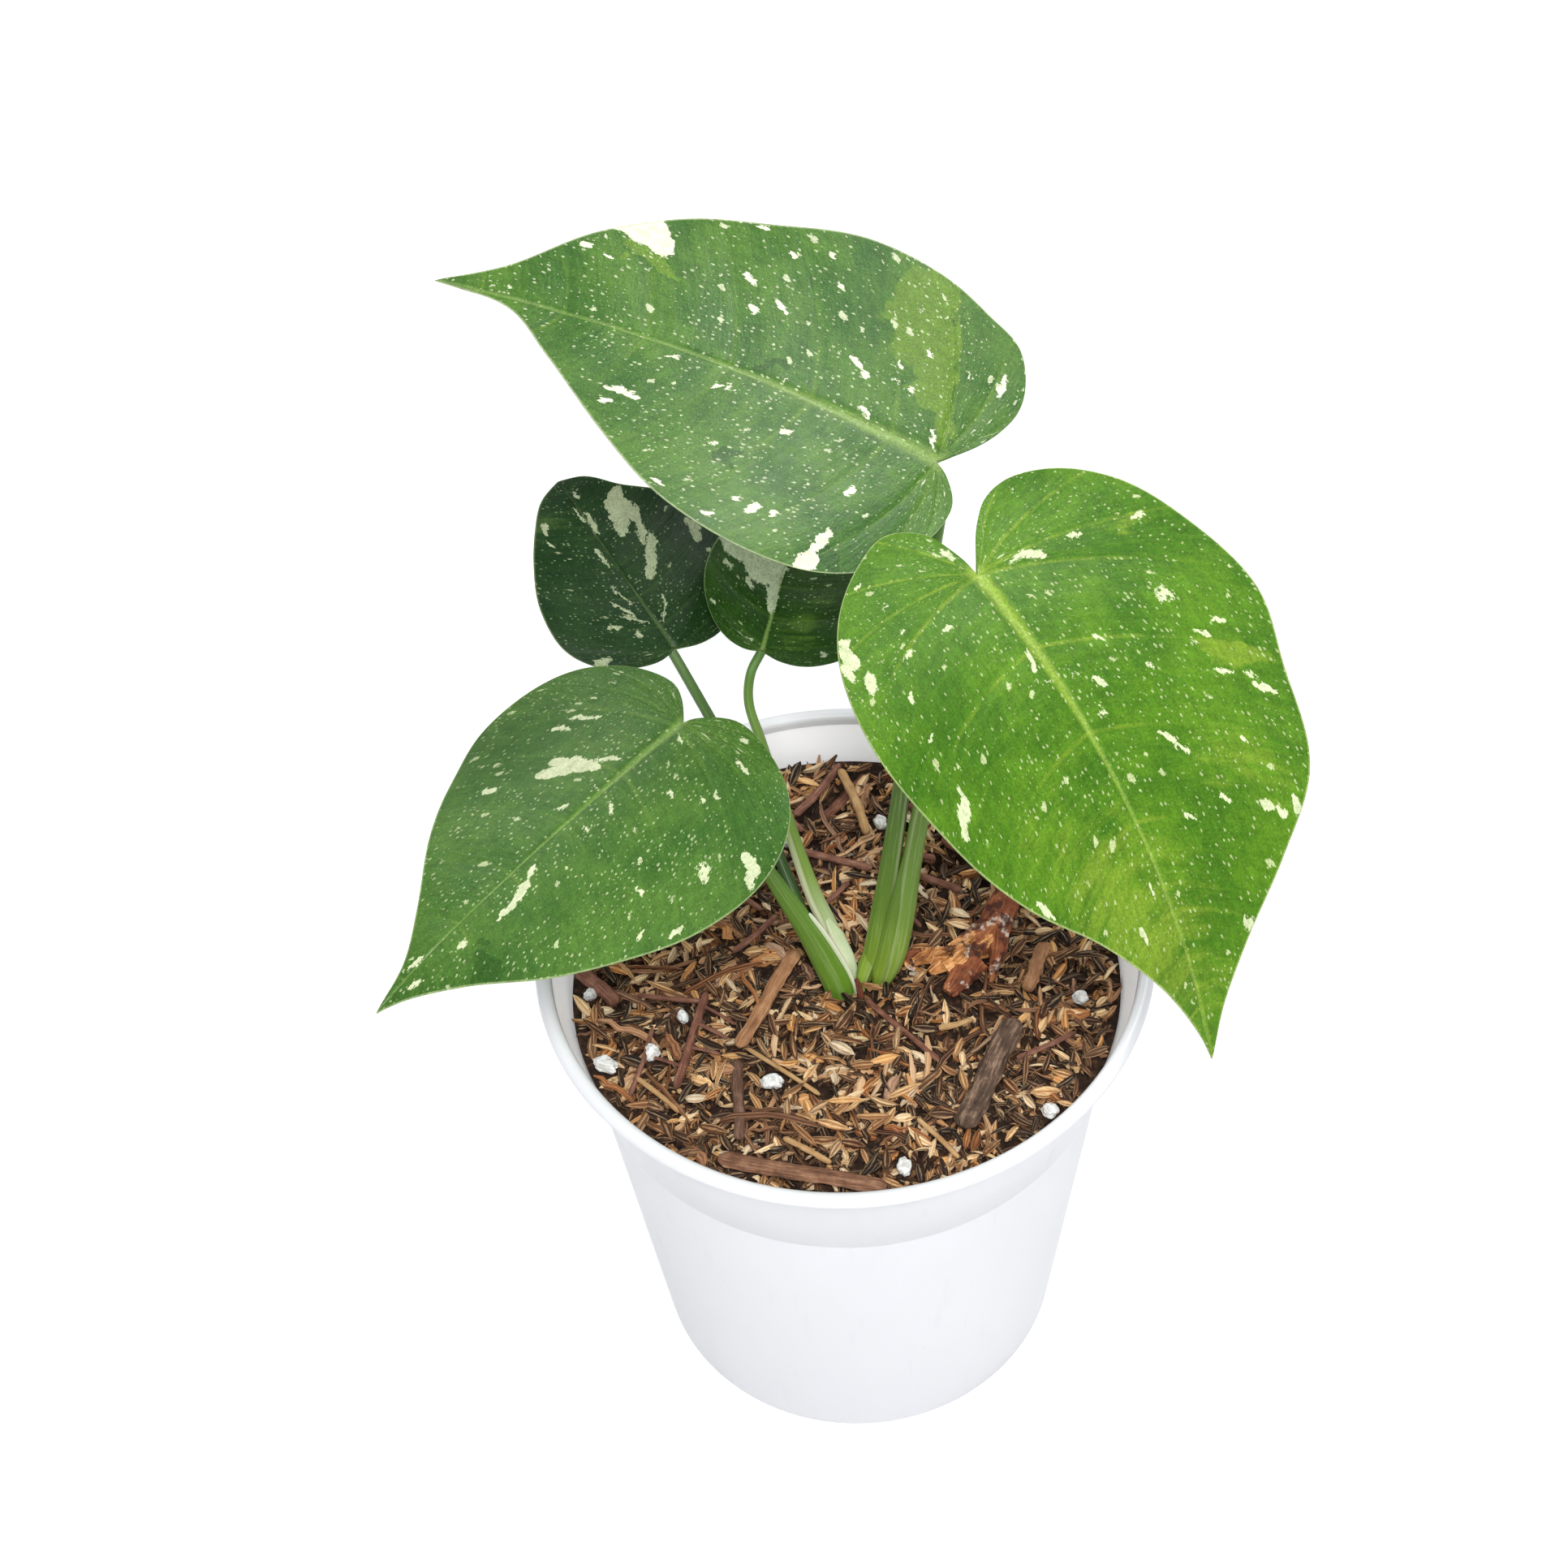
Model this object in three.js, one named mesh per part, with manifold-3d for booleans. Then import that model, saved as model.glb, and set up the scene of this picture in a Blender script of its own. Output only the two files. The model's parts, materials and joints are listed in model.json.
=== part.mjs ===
// A variegated monstera in a round white pot, in millimetres, +Z up.
// The origin is the centre of the pot's underside, and the front of the plant faces -Y.
import * as THREE from "three";
import { mergeVertices } from "three/addons/utils/BufferGeometryUtils.js";
import Module from "manifold-3d";

const wasm = await Module();
wasm.setup();

// Clearance between neighbouring pieces
const GAP = 0.3;

// Pot: a rolled rim, a flared collar and a body that tapers to the base
const POT_HEIGHT = 156;
const RIM_RADIUS = 82.5;
const BEAD_RADIUS = 2.1;
const COLLAR_TOP_RADIUS = 79.7;
const COLLAR_FOOT_RADIUS = 70.9;
const COLLAR_FOOT_HEIGHT = 117;
const COLLAR_STEP = 0.5;
const BASE_RADIUS = 57;
const FOOT_INNER_RADIUS = 47;
const FOOT_RECESS = 1.6;
const CENTRE_PAD_RADIUS = 14;
const WALL = 1.8;
const FLOOR_TOP = 4;
const DRAIN_COUNT = 6;
const DRAIN_RADIUS = 3.5;
const DRAIN_CIRCLE = 33;
const ROUND_SIDES = 52;

// Potting mix: level of its surface, and the husks and bark slivers that cover it
const MIX_LEVEL = 139.4;
const MIX_MOUND = 1.6;
const MIX_RIPPLE = 0.7;
const MIX_BACK_RISE = 0.035;
const MIX_INSET = 0.1;
const MIX_RINGS = [0.93, 0.76, 0.58, 0.4, 0.2];
const HUSK_COUNT = 78;
const HUSK_HALF = [6.2, 2.1, 1.5];
const BARK_COUNT = 26;
const BARK_SIZE = [15, 2.8, 2.2];
const CHIP_REACH = 68;
const CHIP_SEED = 7;

// Short buried stem that the leaf stalks stand on
const STEM_CENTRE = [2, 1];
const STEM_RADIUS = 11;
const STEM_TOP = 130;
const STEM_LENGTH = 30;

// Blades: thickness, the rib under the midrib, and the grid between midrib and margin
const BLADE_THICKNESS = 0.7;
const RIB_DEPTH = 1.5;
const MARGIN_STEPS = 20;
const ROWS = [0, 0.08, 0.34, 0.68, 1];
const VEIN_SLANT = 0.5;
const VEIN_SAG = 0.07;
const STALK_SIDES = 8;
const STALK_STEPS = 20;

// Each leaf: joint is where stalk meets blade, heading and rise point the midrib, tilt lowers the left
// half, arch and cup bend the blade down along and across it per metre, and droop lowers its tip.
// left and right run round each half from the notch at the joint to the tip, as [along, out].
// stalk runs from the buried stem up to the joint, and girth is [share of length, half width, half depth].
const LEAVES = [
  {
    name: "leaf_top",
    colour: 0x3f7a35,
    joint: [28, 44.5, 290],
    heading: 159,
    rise: 22.5,
    tilt: -8,
    arch: 2.7,
    cup: -2.1,
    droop: 1,
    wave: [0.9, 2.6, 0.4],
    tip: [132, 7],
    left: [[-4, 3], [-8, 9], [-8, 16], [-5, 25], [4, 38], [17, 46], [36, 49], [55, 45], [77, 32], [97, 18],
      [112, 8]],
    right: [[-5, 9], [-12, 18], [-13, 28], [-7, 40], [4, 45], [17, 49], [38, 49], [61, 42], [82, 35], [101, 22],
      [117, 4]],
    stalk: [[5.6, 0.8, 130.3], [6, 0.9, 137], [6.4, 1, 143], [8.8, 2, 153], [11.3, 5, 168], [13.7, 8, 184],
      [16.4, 12.5, 202], [21.5, 23, 236], [26.2, 35, 266], [28.6, 42.5, 283]],
    girth: [[0, 1.9, 2.6], [0.04, 2.2, 2.7], [0.075, 2.9, 2.8], [0.14, 3.1, 2.6], [0.235, 2.7, 2.3],
      [0.34, 2.5, 2.1], [0.45, 2.15, 2.1], [1, 1.8, 1.8]],
  },
  {
    name: "leaf_right",
    colour: 0x4c8a30,
    joint: [35.3, -3.2, 300],
    heading: -55,
    rise: -12.5,
    tilt: -7.4,
    arch: 6.4,
    cup: -4.8,
    droop: 0.5,
    wave: [0.7, 3.1, 1.9],
    tip: [130, -4],
    left: [[-8, 8], [-16, 14], [-19, 24], [-15, 35], [-4, 45], [13, 52], [36, 57], [55, 52], [78, 46], [94, 31],
      [108, 14], [119, 3]],
    right: [[-8, 1], [-16, 4], [-20, 12], [-15, 25], [-3, 41], [13, 52], [33, 57], [55, 51], [75, 39], [91, 24],
      [108, 12], [122, 6]],
    stalk: [[9.6, -1, 130.3], [10.2, -1, 137], [11.4, -1.5, 142], [13.6, -1.4, 150], [15.9, 1.4, 162],
      [18.4, 6, 179], [21.4, 9.6, 197], [25, 11, 217], [29.5, 9.5, 250], [33.8, 4, 281]],
    girth: [[0, 1.2, 2.4], [0.07, 1.5, 2.6], [0.115, 2, 2.6], [0.19, 2.1, 2.4], [0.295, 2.5, 2.2],
      [0.4, 2.4, 2.1], [1, 1.8, 1.8]],
  },
  {
    name: "leaf_left",
    colour: 0x3c7340,
    joint: [-37.8, 2.5, 245],
    heading: -138,
    rise: -6.5,
    tilt: 8.6,
    arch: 2.2,
    cup: 6.2,
    droop: 2,
    wave: [0.9, 2.4, 2.6],
    tip: [104, -4],
    left: [[-4, 3], [-9, 11], [-8, 23], [-2, 37], [8, 46], [22, 50], [40, 47], [58, 38], [72, 28], [86, 12],
      [97, 1]],
    right: [[-4, 4], [-8, 12], [-6, 27], [3, 41], [17, 49], [31, 50], [47, 41], [62, 30], [78, 16], [91, 7]],
    stalk: [[-1.3, -4.2, 130.3], [-1.4, -4.3, 137], [-2.2, -4, 143], [-5.4, -3, 153], [-10.6, -2.3, 168],
      [-18.5, -1.2, 188], [-28, 0.6, 216], [-34.6, 1.8, 235]],
    girth: [[0, 4, 2.6], [0.14, 4, 2.5], [0.36, 2.7, 1.9], [0.5, 1.7, 1.6], [1, 1.5, 1.5]],
  },
  {
    name: "leaf_back_left",
    colour: 0x22492c,
    joint: [-41.3, 58.7, 210],
    heading: 128,
    rise: 28,
    tilt: 0,
    arch: 9,
    cup: 4,
    droop: 3,
    wave: [0.8, 2.2, 0.9],
    tip: [64, -9],
    left: [[-1, 6], [3, 16], [9, 22], [17, 25], [29, 23], [41, 16], [51, 8], [59, 0]],
    right: [[-2, 5], [-3, 13], [3, 25], [15, 31], [29, 32], [41, 27], [50, 20], [60, 15]],
    stalk: [[-5.6, 2.9, 130.3], [-6.1, 3.4, 135], [-8.4, 8, 145], [-13.5, 19, 156], [-22.2, 35, 173],
      [-31.5, 47, 190], [-37, 53, 200]],
    girth: [[0, 1.9, 1.9], [0.3, 1.6, 1.5], [1, 1.3, 1.3]],
  },
  {
    name: "leaf_back",
    colour: 0x2c5a34,
    joint: [-18, 52.2, 215],
    heading: 72,
    rise: 20,
    tilt: 10,
    arch: 9,
    cup: 4,
    droop: 5,
    wave: [0.7, 2.3, 2],
    tip: [63, 2],
    left: [[-1, 4], [1, 10], [7, 16], [16, 20], [28, 20], [41, 15], [53, 7]],
    right: [[-2, 6], [-1, 14], [5, 23], [16, 27], [29, 25], [42, 18], [54, 7]],
    stalk: [[-0.3, 6.8, 130.3], [-0.6, 7.4, 136], [-3, 11, 144.5], [-7.3, 16.6, 154], [-11.6, 23.6, 167],
      [-15, 30, 180], [-19.4, 38.4, 194], [-22.2, 44.6, 203], [-21.2, 49.2, 209.5]],
    girth: [[0, 2.2, 2], [0.35, 1.9, 1.7], [0.6, 1.3, 1.3], [1, 1.2, 1.2]],
  },
];

// Loose pieces on the mix: [name, colour, start, end, width, thickness]
const SLIVERS = [
  ["dark_bark", 0x4a3a33, [44.5, -18.9, 143], [28.4, -51.5, 142], 6.5, 3.4],
  ["pale_stick", 0xc79a68, [54, 6, 143], [48, -8.5, 141.5], 3.6, 2.4],
  ["front_bark", 0x5a3526, [-35, -57, 141], [8, -68.5, 141], 3.2, 2],
  ["tan_strip", 0xb27a4a, [-12.8, 8.2, 142], [-29.2, -22.6, 141.5], 3.8, 1.8],
  ["brown_strip", 0x6d4030, [-29.6, -26.5, 141], [-29.4, -52, 141.5], 3, 1.8],
  ["left_twig", 0x84543e, [-37.4, -4.6, 142], [-46, -35, 141.5], 2.2, 2],
  ["root_back", 0x74483c, [12.3, 41.6, 142], [26, 36.4, 142.5], 2.8, 2.6],
  ["root_right", 0x6b4236, [28.5, 44, 143], [47.5, 31, 142.5], 4, 3.4],
  ["thin_fibre", 0x4b241c, [5, -8.8, 141.5], [23.6, -30, 141.5], 1.6, 1.5],
  ["back_stick", 0x7a4a38, [-4.5, 53, 142], [8.5, 68, 142], 2.8, 2.2],
];

// Perlite grains: [x, y, half length, half width]
const PERLITE = [
  [-20.6, -33.7, 2.9, 2.3],
  [-52.2, -22.8, 2.6, 2.1],
  [-64.4, -25.6, 3.3, 2.3],
  [-68.6, -2.2, 2, 1.6],
  [-43.8, -12, 1.9, 1.5],
  [51.6, -46.3, 2.3, 1.9],
  [13, -62, 2.7, 2],
  [62.2, -10.8, 2.2, 1.8],
  [-14.5, 45.8, 3, 2.2],
  [11.5, 50, 2.2, 1.8],
];
const PERLITE_HALF_HEIGHT = 1.7;

// A torn piece of old woody stem that lies to the right of the plant, and a dried leaf sheath at its base
const WOOD_PATH = [[46.5, 24.5, 143], [43, 17, 144.4], [39, 9.5, 144.4], [31, 4, 143.4], [22.5, -1.5, 142]];
const WOOD_GIRTH = [[0, 3.9, 3.6], [0.45, 4.2, 3.6], [0.75, 3.6, 2.4], [1, 1.2, 0.9]];
const SHEATH_PATH = [[4, -6.4, 138.5], [3.6, -5.4, 141], [2.9, -4.2, 144.6]];
const SHEATH_GIRTH = [[0, 0.9, 0.45], [0.6, 0.8, 0.4], [1, 0.45, 0.35]];

const degrees = THREE.MathUtils.degToRad;
const vector = (p) => new THREE.Vector3(...p);

// Solid of a closed geometry, for joining and cutting
function solidOf(geometry) {
  const bare = geometry.index ? geometry.toNonIndexed() : geometry.clone();
  for (const name of Object.keys(bare.attributes)) {
    if (name !== "position") bare.deleteAttribute(name);
  }
  const merged = mergeVertices(bare, 1e-3);
  return new wasm.Manifold(
    new wasm.Mesh({
      numProp: 3,
      vertProperties: new Float32Array(merged.attributes.position.array),
      triVerts: new Uint32Array(merged.index.array),
    }),
  );
}

function geometryOf(solid) {
  const mesh = solid.getMesh();
  const geometry = new THREE.BufferGeometry();
  geometry.setAttribute("position", new THREE.BufferAttribute(mesh.vertProperties, 3));
  geometry.setIndex(new THREE.BufferAttribute(mesh.triVerts, 1));
  geometry.computeVertexNormals();
  return geometry;
}

// The largest body of a solid, without loose scraps
function mainBody(solid) {
  const bodies = solid.decompose();
  return bodies.reduce((best, body) => (body.volume() > best.volume() ? body : best));
}

// Collects triangles by their corners, shares equal corners and leaves out collapsed triangles
class Skin {
  constructor() {
    this.lookup = new Map();
    this.positions = [];
    this.indices = [];
  }
  corner(point) {
    const key = point.toArray().map((value) => value.toFixed(3)).join();
    if (!this.lookup.has(key)) {
      this.lookup.set(key, this.positions.length / 3);
      this.positions.push(...point.toArray());
    }
    return this.lookup.get(key);
  }
  triangle(a, b, c) {
    const [i, j, k] = [a, b, c].map((point) => this.corner(point));
    if (i !== j && j !== k && k !== i) this.indices.push(i, j, k);
  }
  quad(a, b, c, d, turned) {
    if (turned) {
      this.triangle(a, c, b);
      this.triangle(a, d, c);
    } else {
      this.triangle(a, b, c);
      this.triangle(a, c, d);
    }
  }
  geometry() {
    const geometry = new THREE.BufferGeometry();
    geometry.setAttribute("position", new THREE.Float32BufferAttribute(this.positions, 3));
    geometry.setIndex(this.indices);
    geometry.computeVertexNormals();
    return geometry;
  }
}

// Value of a table of [share, a, b, ...] rows at one share
function blend(table, share) {
  const next = Math.max(1, table.findIndex((row) => row[0] >= share));
  const [low, high] = [table[next - 1], table[next]];
  const part = (share - low[0]) / (high[0] - low[0]);
  return low.slice(1).map((value, i) => THREE.MathUtils.lerp(value, high[i + 1], part));
}

// Closed tapering stalk along a smooth path; grow widens it on every side
function stalk(path, girth, steps, grow = 0) {
  const curve = new THREE.CatmullRomCurve3(path.map(vector));
  const skin = new Skin();
  const rings = [];
  for (let i = 0; i <= steps; i += 1) {
    const share = i / steps;
    const centre = curve.getPointAt(share);
    const along = curve.getTangentAt(share);
    const side = new THREE.Vector3(1, 0, 0).addScaledVector(along, -along.x).normalize();
    const front = new THREE.Vector3().crossVectors(along, side);
    const [halfWidth, halfDepth] = blend(girth, share);
    const ring = [];
    for (let k = 0; k < STALK_SIDES; k += 1) {
      const turn = (2 * Math.PI * (k + 0.5)) / STALK_SIDES;
      ring.push(
        centre
          .clone()
          .addScaledVector(side, Math.cos(turn) * (halfWidth + grow))
          .addScaledVector(front, Math.sin(turn) * (halfDepth + grow)),
      );
    }
    rings.push({ centre, ring });
  }
  for (let k = 0; k < STALK_SIDES; k += 1) {
    const next = (k + 1) % STALK_SIDES;
    for (let i = 0; i < steps; i += 1) {
      const [low, high] = [rings[i].ring, rings[i + 1].ring];
      skin.quad(low[k], low[next], high[next], high[k]);
    }
    const [first, last] = [rings[0], rings[steps]];
    skin.triangle(first.centre, first.ring[next], first.ring[k]);
    skin.triangle(last.centre, last.ring[k], last.ring[next]);
  }
  return skin.geometry();
}

// Places a flat leaf point [along, across] in space, raised by lift along the blade's own normal
function bladeSurface(leaf) {
  const heading = degrees(leaf.heading);
  const rise = degrees(leaf.rise);
  const tilt = degrees(leaf.tilt);
  const ahead = new THREE.Vector3(
    Math.cos(rise) * Math.cos(heading),
    Math.cos(rise) * Math.sin(heading),
    Math.sin(rise),
  );
  const level = new THREE.Vector3(-Math.sin(heading), Math.cos(heading), 0);
  const upright = new THREE.Vector3().crossVectors(ahead, level);
  const left = level.clone().multiplyScalar(Math.cos(tilt)).addScaledVector(upright, Math.sin(tilt));
  const up = new THREE.Vector3().crossVectors(ahead, left);
  const arch = leaf.arch / 1000;
  const cup = leaf.cup / 1000;
  const droopStart = 0.7 * leaf.tip[0];
  const joint = vector(leaf.joint);
  return (along, across, lift = 0) => {
    const bend = arch * along;
    const roll = cup * across;
    const normal = up.clone().multiplyScalar(Math.cos(bend)).addScaledVector(ahead, Math.sin(bend));
    const skin = normal.clone().multiplyScalar(Math.cos(roll)).addScaledVector(left, Math.sin(roll));
    const past = Math.max(0, (along - droopStart) / (leaf.tip[0] - droopStart));
    return joint
      .clone()
      .addScaledVector(ahead, Math.sin(bend) / arch)
      .addScaledVector(up, (Math.cos(bend) - 1) / arch)
      .addScaledVector(left, Math.sin(roll) / cup)
      .addScaledVector(normal, (Math.cos(roll) - 1) / cup - leaf.droop * past * past)
      .addScaledVector(skin, lift);
  };
}

// Points at even steps round one half of a leaf, from the notch at the joint to the tip
function marginPoints(leaf, side) {
  const half = side > 0 ? leaf.left : leaf.right;
  const [reach, sweep] = leaf.tip;
  const corners = [[0, 0], ...half, [reach, side * sweep]];
  const outline = new THREE.CatmullRomCurve3(
    corners.map(([along, out]) => new THREE.Vector3(along, side * out, 0)),
    false,
    "centripetal",
  );
  return outline.getSpacedPoints(MARGIN_STEPS);
}

// Where the veins to each step of the margin leave the midrib; the first ones fan from the joint
function veinFeet(leaf, margins) {
  const slanted = ({ x, y }) => x - VEIN_SLANT * Math.abs(y);
  return margins[0].map((point, i) => {
    if (i === MARGIN_STEPS) return leaf.tip[0];
    return Math.max(0, (slanted(point) + slanted(margins[1][i])) / 2);
  });
}

// Thin closed blade: its ribs leave the midrib at a slant, and its margin waves
function blade(leaf) {
  const place = bladeSurface(leaf);
  const skin = new Skin();
  const [reach, sweep] = leaf.tip;
  const [wave, waves, phase] = leaf.wave;
  const margins = [1, -1].map((side) => marginPoints(leaf, side));
  const feet = veinFeet(leaf, margins);
  for (const side of [1, -1]) {
    const margin = side > 0 ? margins[0] : margins[1];
    const columns = margin.map((edge, i) => {
      const share = i / MARGIN_STEPS;
      const foot = feet[i];
      const footAcross = sweep * (foot / reach) ** 2;
      const span = Math.hypot(edge.x - foot, edge.y - footAcross);
      const fade = Math.sin(Math.PI * share);
      return ROWS.map((row) => {
        const along = THREE.MathUtils.lerp(foot, edge.x, row) - 4 * VEIN_SAG * span * row * (1 - row);
        const across = THREE.MathUtils.lerp(footAcross, edge.y, row);
        const lift = wave * fade * row * row * Math.sin(2 * Math.PI * waves * share + side * phase);
        const rib = row === 0 ? RIB_DEPTH * (1 - 0.8 * (foot / reach)) : 0;
        return [place(along, across, lift), place(along, across, lift - BLADE_THICKNESS - rib)];
      });
    });
    for (let i = 0; i < MARGIN_STEPS; i += 1) {
      for (let j = 0; j < ROWS.length - 1; j += 1) {
        const [a, b, c, d] = [columns[i][j], columns[i + 1][j], columns[i + 1][j + 1], columns[i][j + 1]];
        skin.quad(a[0], b[0], c[0], d[0], side < 0);
        skin.quad(a[1], b[1], c[1], d[1], side > 0);
      }
      const [here, ahead] = [columns[i].at(-1), columns[i + 1].at(-1)];
      skin.quad(here[0], ahead[0], ahead[1], here[1], side < 0);
    }
  }
  return skin.geometry();
}

// Stalk path of a leaf, carried on under the blade so that it runs into the midrib
function stalkPath(leaf) {
  const place = bladeSurface(leaf);
  const under = [[1.5, -2.1], [7, -1.5]].map(([along, lift]) => place(along, 0, lift).toArray());
  return [...leaf.stalk, ...under];
}

function leafSolid(leaf) {
  const stem = solidOf(stalk(stalkPath(leaf), leaf.girth, STALK_STEPS));
  return mainBody(solidOf(blade(leaf)).add(stem));
}

function circlePoints(centreRadius, centreHeight, radius, from, to, steps) {
  const points = [];
  for (let i = 0; i <= steps; i += 1) {
    const turn = degrees(THREE.MathUtils.lerp(from, to, i / steps));
    const [outward, upward] = [radius * Math.cos(turn), radius * Math.sin(turn)];
    points.push(new THREE.Vector2(centreRadius + outward, centreHeight + upward));
  }
  return points;
}

function potGeometry() {
  const at = (radius, height) => new THREE.Vector2(radius, height);
  const beadHeight = POT_HEIGHT - BEAD_RADIUS;
  const beadCentre = RIM_RADIUS - BEAD_RADIUS;
  const profile = [
    at(0, 0),
    at(CENTRE_PAD_RADIUS, 0),
    at(CENTRE_PAD_RADIUS + FOOT_RECESS, FOOT_RECESS),
    at(FOOT_INNER_RADIUS - FOOT_RECESS, FOOT_RECESS),
    at(FOOT_INNER_RADIUS, 0),
    at(BASE_RADIUS - 1.2, 0),
    at(BASE_RADIUS, 1.4),
    at(COLLAR_FOOT_RADIUS - COLLAR_STEP, COLLAR_FOOT_HEIGHT - 0.4),
    at(COLLAR_FOOT_RADIUS, COLLAR_FOOT_HEIGHT),
    at(COLLAR_TOP_RADIUS, beadHeight - BEAD_RADIUS),
    ...circlePoints(beadCentre, beadHeight, BEAD_RADIUS, -80, 180, 6),
    at(COLLAR_TOP_RADIUS - WALL, beadHeight - BEAD_RADIUS),
    at(COLLAR_FOOT_RADIUS - WALL, COLLAR_FOOT_HEIGHT),
    at(BASE_RADIUS - WALL, FLOOR_TOP),
    at(0, FLOOR_TOP),
  ];
  let pot = solidOf(new THREE.LatheGeometry(profile, ROUND_SIDES).rotateX(Math.PI / 2));
  for (let i = 0; i < DRAIN_COUNT; i += 1) {
    const turn = (2 * Math.PI * i) / DRAIN_COUNT;
    const drain = new THREE.CylinderGeometry(DRAIN_RADIUS, DRAIN_RADIUS, 4 * FLOOR_TOP, 12);
    drain.rotateX(Math.PI / 2);
    drain.translate(DRAIN_CIRCLE * Math.cos(turn), DRAIN_CIRCLE * Math.sin(turn), 0);
    pot = pot.subtract(solidOf(drain));
  }
  return geometryOf(pot);
}

// Seeded random numbers from 0 to 1
function randomFrom(seed) {
  let state = seed;
  return () => {
    state = (state * 1664525 + 1013904223) % 4294967296;
    return state / 4294967296;
  };
}

// Height of the mix's surface: a low mound, ripples that fade at the pot's wall, and a rise at the back
function mixHeight(x, y) {
  const share = Math.min(1, Math.hypot(x, y) / CHIP_REACH);
  const ripple = Math.sin(x * 0.31 + 1.3 * Math.sin(y * 0.12)) * Math.cos(y * 0.27 + 0.8 * Math.sin(x * 0.1));
  const rise = MIX_BACK_RISE * Math.max(0, y);
  return MIX_LEVEL + MIX_MOUND * (1 - share * share) + MIX_RIPPLE * (1 - share ** 4) * ripple + rise;
}

// Radius of the mix against the pot's flared collar at a height
function mixRadius(height) {
  const rise = POT_HEIGHT - 2 * BEAD_RADIUS - COLLAR_FOOT_HEIGHT;
  const share = (height - COLLAR_FOOT_HEIGHT) / rise;
  return THREE.MathUtils.lerp(COLLAR_FOOT_RADIUS, COLLAR_TOP_RADIUS, share) - WALL - GAP - MIX_INSET;
}

// The mix fills the pot; its rings climb the inner wall and close over the rippled top
function mixBody() {
  const skin = new Skin();
  const topRadius = mixRadius(MIX_LEVEL);
  const ringOf = (pointAt) => {
    const ring = [];
    for (let k = 0; k < ROUND_SIDES; k += 1) {
      const turn = (2 * Math.PI * k) / ROUND_SIDES;
      const [radius, height] = pointAt(Math.cos(turn), Math.sin(turn));
      ring.push(new THREE.Vector3(radius * Math.cos(turn), radius * Math.sin(turn), height));
    }
    return ring;
  };
  const rings = [
    ringOf(() => [BASE_RADIUS - WALL - GAP - MIX_INSET, FLOOR_TOP + GAP]),
    ringOf(() => [mixRadius(COLLAR_FOOT_HEIGHT), COLLAR_FOOT_HEIGHT]),
    ringOf((x, y) => {
      const height = mixHeight(topRadius * x, topRadius * y) - 0.5;
      return [mixRadius(height), height];
    }),
    ...MIX_RINGS.map((share) =>
      ringOf((x, y) => [topRadius * share, mixHeight(topRadius * share * x, topRadius * share * y)]),
    ),
  ];
  const bottom = new THREE.Vector3(0, 0, FLOOR_TOP + GAP);
  const top = new THREE.Vector3(0, 0, mixHeight(0, 0));
  for (let k = 0; k < ROUND_SIDES; k += 1) {
    const next = (k + 1) % ROUND_SIDES;
    for (let i = 0; i < rings.length - 1; i += 1) {
      skin.quad(rings[i][k], rings[i][next], rings[i + 1][next], rings[i + 1][k]);
    }
    skin.triangle(bottom, rings[0][next], rings[0][k]);
    skin.triangle(top, rings.at(-1)[k], rings.at(-1)[next]);
  }
  return solidOf(skin.geometry());
}

// Husks and bark slivers, spread evenly in a sunflower pattern and half sunk in the mix
function chipSolids() {
  const random = randomFrom(CHIP_SEED);
  const solids = [];
  const count = HUSK_COUNT + BARK_COUNT;
  const goldenTurn = Math.PI * (3 - Math.sqrt(5));
  const barkEvery = Math.floor(count / BARK_COUNT);
  for (let i = 0; i < count; i += 1) {
    const radius = CHIP_REACH * Math.sqrt((i + 0.5) / count);
    const turn = goldenTurn * i + 0.4 * random();
    const size = 0.8 + 0.4 * random();
    const isBark = i % barkEvery === 0;
    const chip = isBark
      ? new THREE.BoxGeometry(...BARK_SIZE)
      : new THREE.OctahedronGeometry(1).scale(...HUSK_HALF);
    chip.scale(size, size, size);
    chip.rotateY(degrees(-10 + 20 * random()));
    chip.rotateZ(2 * Math.PI * random());
    const [x, y] = [radius * Math.cos(turn), radius * Math.sin(turn)];
    chip.translate(x, y, mixHeight(x, y) + 0.2 + 0.7 * random());
    solids.push(solidOf(chip));
  }
  return solids;
}

// A flat sliver with pointed ends from start to end
function sliver(start, end, width, thickness, grow = 0) {
  const [from, to] = [vector(start), vector(end)];
  const length = from.distanceTo(to) + 2 * grow;
  const half = width / 2 + grow;
  const shoulder = length / 2 - 0.8 * width;
  const outline = new THREE.Shape([
    new THREE.Vector2(-length / 2, -0.3 * half),
    new THREE.Vector2(-shoulder, -half),
    new THREE.Vector2(shoulder, -0.9 * half),
    new THREE.Vector2(length / 2, 0.2 * half),
    new THREE.Vector2(shoulder, half),
    new THREE.Vector2(-shoulder, 0.8 * half),
  ]);
  const depth = thickness + 2 * grow;
  const geometry = new THREE.ExtrudeGeometry(outline, { depth, bevelEnabled: false });
  geometry.translate(0, 0, -depth / 2);
  const along = to.clone().sub(from).normalize();
  const side = new THREE.Vector3(-along.y, along.x, 0).normalize();
  const up = new THREE.Vector3().crossVectors(along, side);
  const middle = from.add(to).multiplyScalar(0.5);
  return geometry.applyMatrix4(new THREE.Matrix4().makeBasis(along, side, up).setPosition(middle));
}

function perliteGrain([x, y, halfLength, halfWidth], i, grow = 0) {
  const grain = new THREE.IcosahedronGeometry(1, 0);
  grain.scale(halfLength + grow, halfWidth + grow, PERLITE_HALF_HEIGHT + grow);
  grain.rotateZ(i * 1.3);
  return grain.translate(x, y, mixHeight(x, y) + 0.9);
}

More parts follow.
